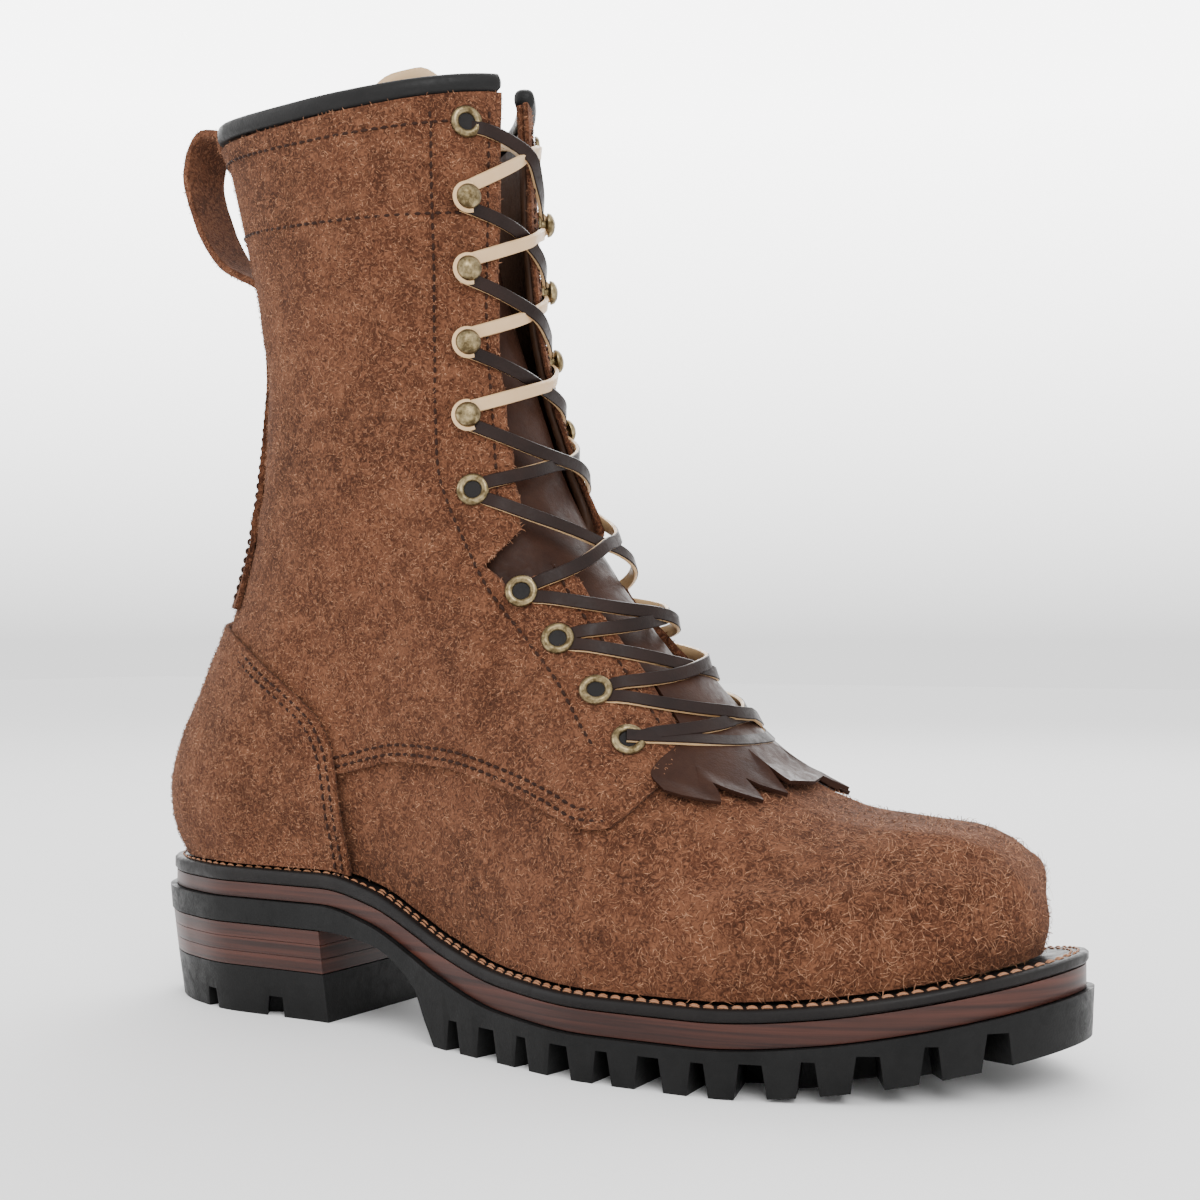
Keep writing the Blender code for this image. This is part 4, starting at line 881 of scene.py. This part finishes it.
# %% Lace bends round the hooks, low bar and free end
BEND_RADIUS = 3.1
for index, (t_at, angle_at, kind) in enumerate(LACING):
    if kind != "hook":
        continue
    for side, word in ((-1, "outer"), (1, "inner")):
        normal, up, across = axes_at(t_at, side * angle_at)
        place = skin(t_at, side * angle_at, QUARTER_OUT + 1.9)
        away_from = -across if np.dot(across, skin(t_at, 0.0) - place) > 0 else across
        sweep = np.linspace(-0.35, math.pi + 0.35, 18)
        ring = [place + BEND_RADIUS * (up * math.cos(a) + away_from * math.sin(a)) for a in sweep]
        strip(f"lace_bend_{word}_{index + 1}", ring, [normal] * 18, np.full(18, 0.75), True)

low, low_angle, _ = LACING[0]
share = np.linspace(-1, 1, 40)
bar_lift = 3.0 - 1.1 * np.exp(-(share / 0.55) ** 4)
bar = skin(low + 0.003, share * low_angle, bar_lift)
strip("lace_low_bar", bar, skin(low + 0.003, share * low_angle, bar_lift + 1) - bar)

LACE_END = (
    (-33.0, 15.5, 280.0), (-42.0, 21.0, 283.0), (-52.0, 26.0, 290.0), (-62.0, 29.5, 300.0),
    (-72.0, 31.0, 310.0), (-82.0, 31.5, 316.0), (-92.0, 30.0, 315.0), (-100.0, 27.0, 308.0),
    (-104.0, 23.0, 296.0), (-104.0, 20.0, 282.0), (-101.0, 18.5, 266.0), (-97.0, 18.0, 250.0),
)
eyelet_back = skin(LACING[-1][0], LACING[-1][1], -WALL)
line, end_length = along([tuple(eyelet_back), *LACE_END], 70)
sideways = np.tile((0.15, 1.0, 0.1), (70, 1))
end_piece = strip("lace_free_end", line, sideways)
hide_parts("lace_end")
print("free lace end:", round(end_length), "mm")

# %% [markdown]
# The sole is built in layers, each a plate between two heights with rounded edges: a glossy black
# welt, a mahogany midsole, the rubber with its notched lugs, the leather lifts and the top lift.


# %% Sole
def stations(start, stop, count):
    turns = np.linspace(float(turn_of(start)), float(turn_of(stop)), count)
    return (1 - np.cos(turns)) / 2


def slab(name, finish_of, slot, low, high, shares, inset_low, inset_high):
    points = []
    for height, inset in ((low, inset_low), (high, inset_high)):
        for side in (-1, 1):
            for share in shares:
                x, y = outline_point(share, side, inset)
                points.append((x, y, float(height((x + LENGTH / 2) / LENGTH))))
    n = len(shares)
    faces = []
    for i in range(n - 1):
        for a, b in ((0, n), (2 * n, 3 * n), (0, 2 * n), (n, 3 * n)):
            faces.append((a + i, a + i + 1, b + i + 1, b + i))
    faces += [(i, n + i, 3 * n + i, 2 * n + i) for i in (0, n - 1)]
    return add_mesh(name, points, faces, finish_of, slot, 35.0)


BOX_FACES = ((0, 1, 3, 2), (4, 6, 7, 5), (0, 4, 5, 1), (2, 3, 7, 6), (0, 2, 6, 4), (1, 5, 7, 3))


def notch_tool(notches):
    points, faces = [], []
    for place, out, wide_low, wide_high, reach, low, high in notches:
        out = np.array((*out, 0.0))
        across = np.array((-out[1], out[0], 0.0))
        first = len(points)
        for level, wide in ((low, wide_low), (high, wide_high)):
            for distance in (-reach, 6.0):
                for side in (-1, 1):
                    points.append(np.array((*place, level)) + out * distance + across * side * wide / 2)
        faces += [tuple(first + k for k in face) for face in BOX_FACES]
    return add_mesh("notch tool", points, faces, RUBBER, None)


SIDE_NOTCHES, NOTCH_START, NOTCH_STEP = 12, 0.455, 0.045
SHORT_NOTCH, LONG_NOTCH = (5.0, 13.0), (7.5, 20.0)
shares = stations(0, 1, 120)
outsole = slab("rubber_outsole", RUBBER, "rubber", lambda s: layer(s, 1), lambda s: layer(s, 2) - GAP / 2,
               shares, 0.6, 0.0)
notches = []
for side in (-1, 1):
    for k in range(SIDE_NOTCHES):
        share = NOTCH_START + NOTCH_STEP * k
        x, y = outline_point(share, side, 0.0)
        x_ahead, y_ahead = outline_point(share + 0.002, side, 0.0)
        out = np.array((y - y_ahead, x_ahead - x))
        out *= side * np.sign(out[1]) / np.hypot(*out)
        wide, reach = LONG_NOTCH if k % 2 else SHORT_NOTCH
        lift = float(layer(share, 1))
        notches.append(((x, y), out, wide + 2.5, wide - 1.5, reach, lift - 5.0, lift + LUG_DEPTH))
for k in range(5):
    x = -LENGTH / 2 + (0.50 + 0.085 * k) * LENGTH
    notches.append(((x, 8.0), (0.0, 1.0), 7.0, 5.0, 16.0, -5.0, LUG_DEPTH * 0.7))
cut(outsole, notch_tool(notches))
bevel(outsole, 0.5, 2)
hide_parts("outsole")

midsole = slab("mahogany_midsole", STACK, "stacked_leather", lambda s: layer(s, 2) + GAP / 2,
               lambda s: layer(s, 3) - GAP / 2, shares, MIDSOLE_STEP, MIDSOLE_STEP)
bevel(midsole, 0.7, 3)
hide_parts("midsole")

ring = [(s, -1) for s in shares] + [(s, 1) for s in shares[-2:0:-1]]
points = []
# inset from the outsole's edge, the layer that gives the height, and a shift from it
welt_rows = (
    (WELT_STEP + 0.5, 3, 0.2), (WELT_STEP, 3, 0.9), (WELT_STEP, 4, -0.9), (WELT_STEP + 0.7, 4, -0.15),
    (WELT_STEP + 1.8, 4, 0.0), (WELT_STEP + WELT_BAND, 4, 0.0), (WELT_STEP + WELT_BAND, 3, 0.2),
)
for inset, column, shift in welt_rows:
    for share, side in ring:
        x, y = outline_point(share, side, inset)
        points.append((x, y, float(layer((x + LENGTH / 2) / LENGTH, column)) + shift))
faces = loop_faces(len(welt_rows), len(ring), True)
welt = add_mesh("black_welt", points, faces, BLACK, "edge_leather", 50.0)
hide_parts("welt")

breast = HEEL_LENGTH / LENGTH
heel_shares = stations(0, breast, 48)
lift_inset = HEEL_TAPER * (1 - TOP_LIFT / HEEL_RISE) + 0.4
LIFTS = 3
inset_at = lambda z: lift_inset + (1.0 - lift_inset) * (z - TOP_LIFT) / (HEEL_RISE - TOP_LIFT)
for k in range(LIFTS):
    low, high = (TOP_LIFT + GAP + (HEEL_RISE - 2 * GAP - TOP_LIFT) * (k + e) / LIFTS for e in (0, 1))
    part = slab(f"mahogany_lift_{k + 1}", STACK, "stacked_leather", lambda s, z=low: z + 0 * s,
                lambda s, z=high - 0.12: z + 0 * s, heel_shares, inset_at(low), inset_at(high))
    bevel(part, 0.45, 2)
    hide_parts("heel_stack")

top_lift = slab("rubber_top_lift", RUBBER, "rubber", lambda s: 0 * s, lambda s: TOP_LIFT + 0 * s,
                heel_shares, HEEL_TAPER, lift_inset)
notches = []
for share, side in ((0.02, -1), (0.02, 1), (0.11, -1), (0.11, 1), (0.20, -1), (0.20, 1)):
    x, y = outline_point(share, side, HEEL_TAPER)
    out = np.array((x + LENGTH * 0.36, y))
    out /= np.hypot(*out)
    notches.append(((x, y), out, 6.0, 4.5, 7.0, -2.0, TOP_LIFT * 0.42))
cut(top_lift, notch_tool(notches))
bevel(top_lift, 0.5, 2)
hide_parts("top_lift")

insole = bpy.data.objects["insole"]
insole.data.materials.clear()
insole.data.materials.append(BOARD)
print("sole layers dressed")

# %% [markdown]
# Stitches are short raised lengths of thread, all in one joined mesh for each seam. They lie on the
# form's surface, in double rows along the quarter and the counter, and in copper thread on the welt.


# %% Stitches
def thread_run(name, line, ups, pitch, length, radius, finish_of, slot="suede"):
    """A row of stitches along a line, each a low rounded dash."""
    line, ups = np.asarray(line, float), np.asarray(ups, float)
    walk = np.concatenate([[0], np.cumsum(np.linalg.norm(np.diff(line, axis=0), axis=1))])
    points, faces = [], []
    for k in range(int(walk[-1] / pitch)):
        marks = np.linspace(0, length, 5) + k * pitch + 0.3 * pitch
        spine = np.stack([np.interp(marks, walk, line[:, c]) for c in range(3)], 1)
        up = np.stack([np.interp(marks, walk, ups[:, c]) for c in range(3)], 1)
        run = np.gradient(spine, axis=0)
        side = np.cross(run, up)
        side /= np.maximum(np.linalg.norm(side, axis=1, keepdims=True), 1e-9)
        up /= np.linalg.norm(up, axis=1, keepdims=True)
        first = len(points)
        for m, swell in enumerate((0.45, 0.9, 1.0, 0.9, 0.45)):
            sink = (1 - swell) * radius * 1.4
            for n in range(6):
                a = math.pi / 3 * n
                way = side[m] * math.cos(a) + up[m] * math.sin(a)
                points.append(spine[m] + radius * swell * way - up[m] * sink)
        faces += [tuple(first + v for v in face) for face in tube_faces(5, 6)]
    return add_mesh(name, points, faces, finish_of, slot, 60.0, clean=False)


def on_skin(t, angle, out):
    line = skin(t, angle, out)
    return line, skin(t, angle, out + 1.0) - line


def side_line(points, side, out, shift=0.0):
    """A side-view line laid on the form: the place on the grid nearest each of its points."""
    half = PLACES[:, GRID_A // 2:] if side > 0 else PLACES[:, :GRID_A // 2 + 1]
    normals = NORMALS[:, GRID_A // 2:] if side > 0 else NORMALS[:, :GRID_A // 2 + 1]
    flat, flat_normal = half.reshape(-1, 3), normals.reshape(-1, 3)
    line, ups = [], []
    for x, z in points:
        gap2 = (flat[:, 0] - x) ** 2 + (flat[:, 2] - z) ** 2
        near = np.argsort(gap2)[:4]
        weight = 1 / (gap2[near] + 0.01)
        weight /= weight.sum()
        up = (flat_normal[near] * weight[:, None]).sum(0)
        spot_y = (flat[near, 1] * weight).sum()
        line.append(np.array((x, spot_y, z)) + up * out * np.array((0.0, 1.0, 0.0)))
        ups.append(up)
    return np.array(line), np.array(ups)


def inset_line(points, distance):
    step = np.gradient(points, axis=0)
    step /= np.linalg.norm(step, axis=1, keepdims=True)
    return points + np.stack([-step[:, 1], step[:, 0]], 1) * distance


SEAM_THREAD = (3.1, 2.3, 0.5, BROWN_THREAD)  # pitch, stitch and radius in mm, then the finish


def facing_angle(rows, side, margin):
    """Angle at which each level reaches the throat's edge and a margin behind it."""
    sweep = np.linspace(0, 88, 89)
    column = 1 if side < 0 else 2
    found = []
    for t in rows:
        off = side * (skin(t, side * sweep)[:, 1] - skin(t, 0.0)[1])
        found.append(np.interp(curve_through(t, THROAT[:, 0], THROAT[:, column]) + margin, off, sweep))
    return side * np.array(found)


lacing_places = np.array([row[:2] for row in LACING])
quarter_line = seam(QUARTER_SEAM, 120)[6:]
counter_line = seam(COUNTER_SEAM, 90)[4:-3]
for side, word in ((-1, "outer"), (1, "inner")):
    for k, distance in enumerate((2.4, 5.2)):
        line, ups = side_line(inset_line(quarter_line, distance), side, QUARTER_OUT + 0.35)
        thread_run(f"thread_quarter_{word}_{k}", line, ups, *SEAM_THREAD)
    for k, distance in enumerate((-2.2, -5.0)):
        line, ups = side_line(inset_line(counter_line, distance), side, COUNTER_OUT + 0.35)
        thread_run(f"thread_counter_{word}_{k}", line, ups, *SEAM_THREAD)
    for k, (low, high) in enumerate(((0.46, 0.64), (0.705, 0.985))):
        rows = np.linspace(low, high, 90)
        line, ups = on_skin(rows, facing_angle(rows, side, 3.0), QUARTER_OUT + 0.25)
        thread_run(f"thread_facing_{word}_{k}", line, ups, *SEAM_THREAD)
    rows = np.linspace(0.44, 0.985, 150)
    behind = curve_through(rows, lacing_places[:, 0], lacing_places[:, 1]) + 9 + 4 * ease((rows - 0.6) / 0.2)
    line, ups = on_skin(rows, side * behind, QUARTER_OUT + 0.25)
    thread_run(f"thread_eyestay_{word}", line, ups, *SEAM_THREAD)
    angles = np.linspace(30, 178, 150)
    for k, level in enumerate((0.968, 0.905)):
        line, ups = on_skin(level + 0 * angles, side * angles, QUARTER_OUT + 0.2)
        thread_run(f"thread_collar_{word}_{k}", line, ups, *SEAM_THREAD)
    rows = np.linspace(0.56, BACKSTAY_TOP - 0.005, 90)
    offset = np.degrees(np.arcsin((backstay_wide(rows) / 2 - 1.8) / half_girth(rows)))
    line, ups = on_skin(rows, side * (180 - offset), BACKSTAY_OUT + 0.2)
    thread_run(f"thread_backstay_{word}", line, ups, *SEAM_THREAD)

for row, (inset, first) in enumerate(((WELT_STEP + 2.6, 0.0), (WELT_STEP + 4.4, 0.33))):
    steps = stations(first, 1, 260)
    track = [(s, -1) for s in steps] + [(s, 1) for s in steps[::-1]]
    line = []
    for share, side in track:
        x, y = outline_point(share, side, inset)
        line.append((x, y, float(layer((x + LENGTH / 2) / LENGTH, 4)) + 0.25))
    thread_run(f"thread_welt_{row}", line, np.tile((0.0, 0.0, 1.0), (len(line), 1)), 3.9, 2.9, 0.38, THREAD,
               "edge_leather")
print("stitched")

# %% [markdown]
# Real fibres break the suede's outline and catch the light. Each is a thin curled ribbon on the
# surface, longer towards the toe. They are scattered evenly by area and joined in one mesh a piece.


# %% Fibres
def fibres(piece, count, reach, name):
    """Curled ribbons on a piece's outer face, scattered evenly by area."""
    mesh = piece.data
    mesh.calc_loop_triangles()
    n = len(mesh.loop_triangles)
    corners = np.zeros(n * 3, int)
    mesh.loop_triangles.foreach_get("vertices", corners)
    verts = np.zeros(len(mesh.vertices) * 3)
    mesh.vertices.foreach_get("co", verts)
    verts = verts.reshape(-1, 3) / MM
    tri = verts[corners.reshape(-1, 3)]
    normal = np.cross(tri[:, 1] - tri[:, 0], tri[:, 2] - tri[:, 0])
    area = np.linalg.norm(normal, axis=1)
    normal /= np.maximum(area, 1e-9)[:, None]
    middle_of = tri.mean(1)
    shaft = middle_of[:, 2] > ANKLE_HEIGHT
    axis = np.stack([np.clip(middle_of[:, 0], *FOOT_AXIS), 0 * area, np.clip(middle_of[:, 2], 0, 60)], 1)
    axis[:, 0] = np.where(shaft, SHAFT_AXIS, axis[:, 0])
    axis[:, 2] = np.where(shaft, middle_of[:, 2], axis[:, 2] * 0.7)
    outward = ((middle_of - axis) * normal).sum(1) > 0
    area = np.where(outward, area, 0)
    pick = rng.choice(n, count, p=area / area.sum())
    w = rng.dirichlet((1, 1, 1), count)
    root = (tri[pick] * w[:, :, None]).sum(1)
    up = normal[pick]
    lay = rng.normal(size=(count, 3))
    lay -= up * (lay * up).sum(1)[:, None]
    lay /= np.linalg.norm(lay, axis=1)[:, None]
    side = np.cross(lay, up)
    long = rng.uniform(0.5, 1.0, count) * reach * (1 + 1.3 * ease((root[:, 0] - 40) / 90))
    bend = rng.uniform(-1.3, 1.3, count)
    rise_of = rng.uniform(0.15, 0.6, count) * (1 + 0.9 * ease((root[:, 0] - 40) / 90))
    wide = rng.uniform(0.09, 0.16, count)
    points = np.zeros((count, 4, 2, 3))
    for k, s in enumerate(np.linspace(0, 1, 4)):
        spine = root + lay * (long * s)[:, None] + side * (long * bend * s * s * 0.5)[:, None]
        spine = spine + up * (0.05 + rise_of * math.sin(math.pi * min(s * 0.8, 1.0)))[:, None]
        taper = 1.0 - 0.6 * s
        points[:, k, 0] = spine + side * (wide * taper)[:, None]
        points[:, k, 1] = spine - side * (wide * taper)[:, None]
    base = np.arange(count)[:, None, None] * 8
    quads = np.array([[0, 1, 3, 2], [2, 3, 5, 4], [4, 5, 7, 6]])[None] + base
    faces = quads.reshape(-1, 4).tolist()
    return add_mesh(name, points.reshape(-1, 3), faces, FIBRE, "suede", 180.0, clean=False)


fibres(upper, 24000, 2.0, "fibres_vamp")
fibres(quarters, 30000, 1.5, "fibres_quarters")
fibres(counter, 10000, 1.5, "fibres_counter")
fibres(backstay, 1500, 1.1, "fibres_backstay")
fibres(pull_loop, 1200, 1.2, "fibres_pull_loop")
print("fibres placed")

# %% [markdown]
# A pale floor, a bright surround and three large soft lights give the photo's even studio light.
# The surround is brightest behind the boot, where a studio's backdrop is lit on its own.

# %% Floor and light
floor_mesh = bpy.data.meshes.new("floor")
floor_mesh.from_pydata([(-4, -4, 0), (4, -4, 0), (4, 4, 0), (-4, 4, 0)], [], [(0, 1, 2, 3)])
floor = bpy.data.objects.new("floor", floor_mesh)
bpy.context.collection.objects.link(floor)
FLOOR, _, shader = finish("floor", roughness=0.9, specular=0.0)
shader.inputs["Base Color"].default_value = (0.92, 0.92, 0.92, 1)
floor_mesh.materials.append(FLOOR)

world = bpy.data.worlds.new("surround")
world.use_nodes = True
tree = world.node_tree
tree.nodes["Background"].inputs["Color"].default_value = (1, 1, 1, 1)
place = tree.nodes.new("ShaderNodeTexCoord")
facing = tree.nodes.new("ShaderNodeVectorMath")
facing.operation = "DOT_PRODUCT"
facing.inputs[1].default_value = tuple(-away)
height_of = tree.nodes.new("ShaderNodeSeparateXYZ")
tree.links.new(place.outputs["Generated"], facing.inputs[0])
tree.links.new(place.outputs["Generated"], height_of.inputs[0])
ahead = spread(tree, facing.outputs["Value"], 0.72, 0.90)
above = spread(tree, height_of.outputs["Z"], 0.0, 0.28)
glow = maths(tree, "MULTIPLY", maths(tree, "MULTIPLY", ahead, above), 5.0)
tree.links.new(maths(tree, "ADD", glow, 1.6), tree.nodes["Background"].inputs["Strength"])
bpy.context.scene.world = world

LIGHTS = (
    # name, place in m, size in m, power in W
    ("key", (0.9, -0.9, 1.1), 0.9, 14.0),
    ("fill", (-1.1, -0.8, 0.7), 1.2, 6.0),
    ("back", (-0.2, 1.1, 1.2), 1.0, 12.0),
)
for name, place, size, power in LIGHTS:
    data = bpy.data.lights.new(name, "AREA")
    data.size, data.energy = size, power
    lamp = bpy.data.objects.new(name, data)
    lamp.location = place
    lamp.rotation_euler = (Vector(place) - Vector((0, 0, 0.14))).to_track_quat("Z", "Y").to_euler()
    bpy.context.collection.objects.link(lamp)
print("lights:", len(LIGHTS))
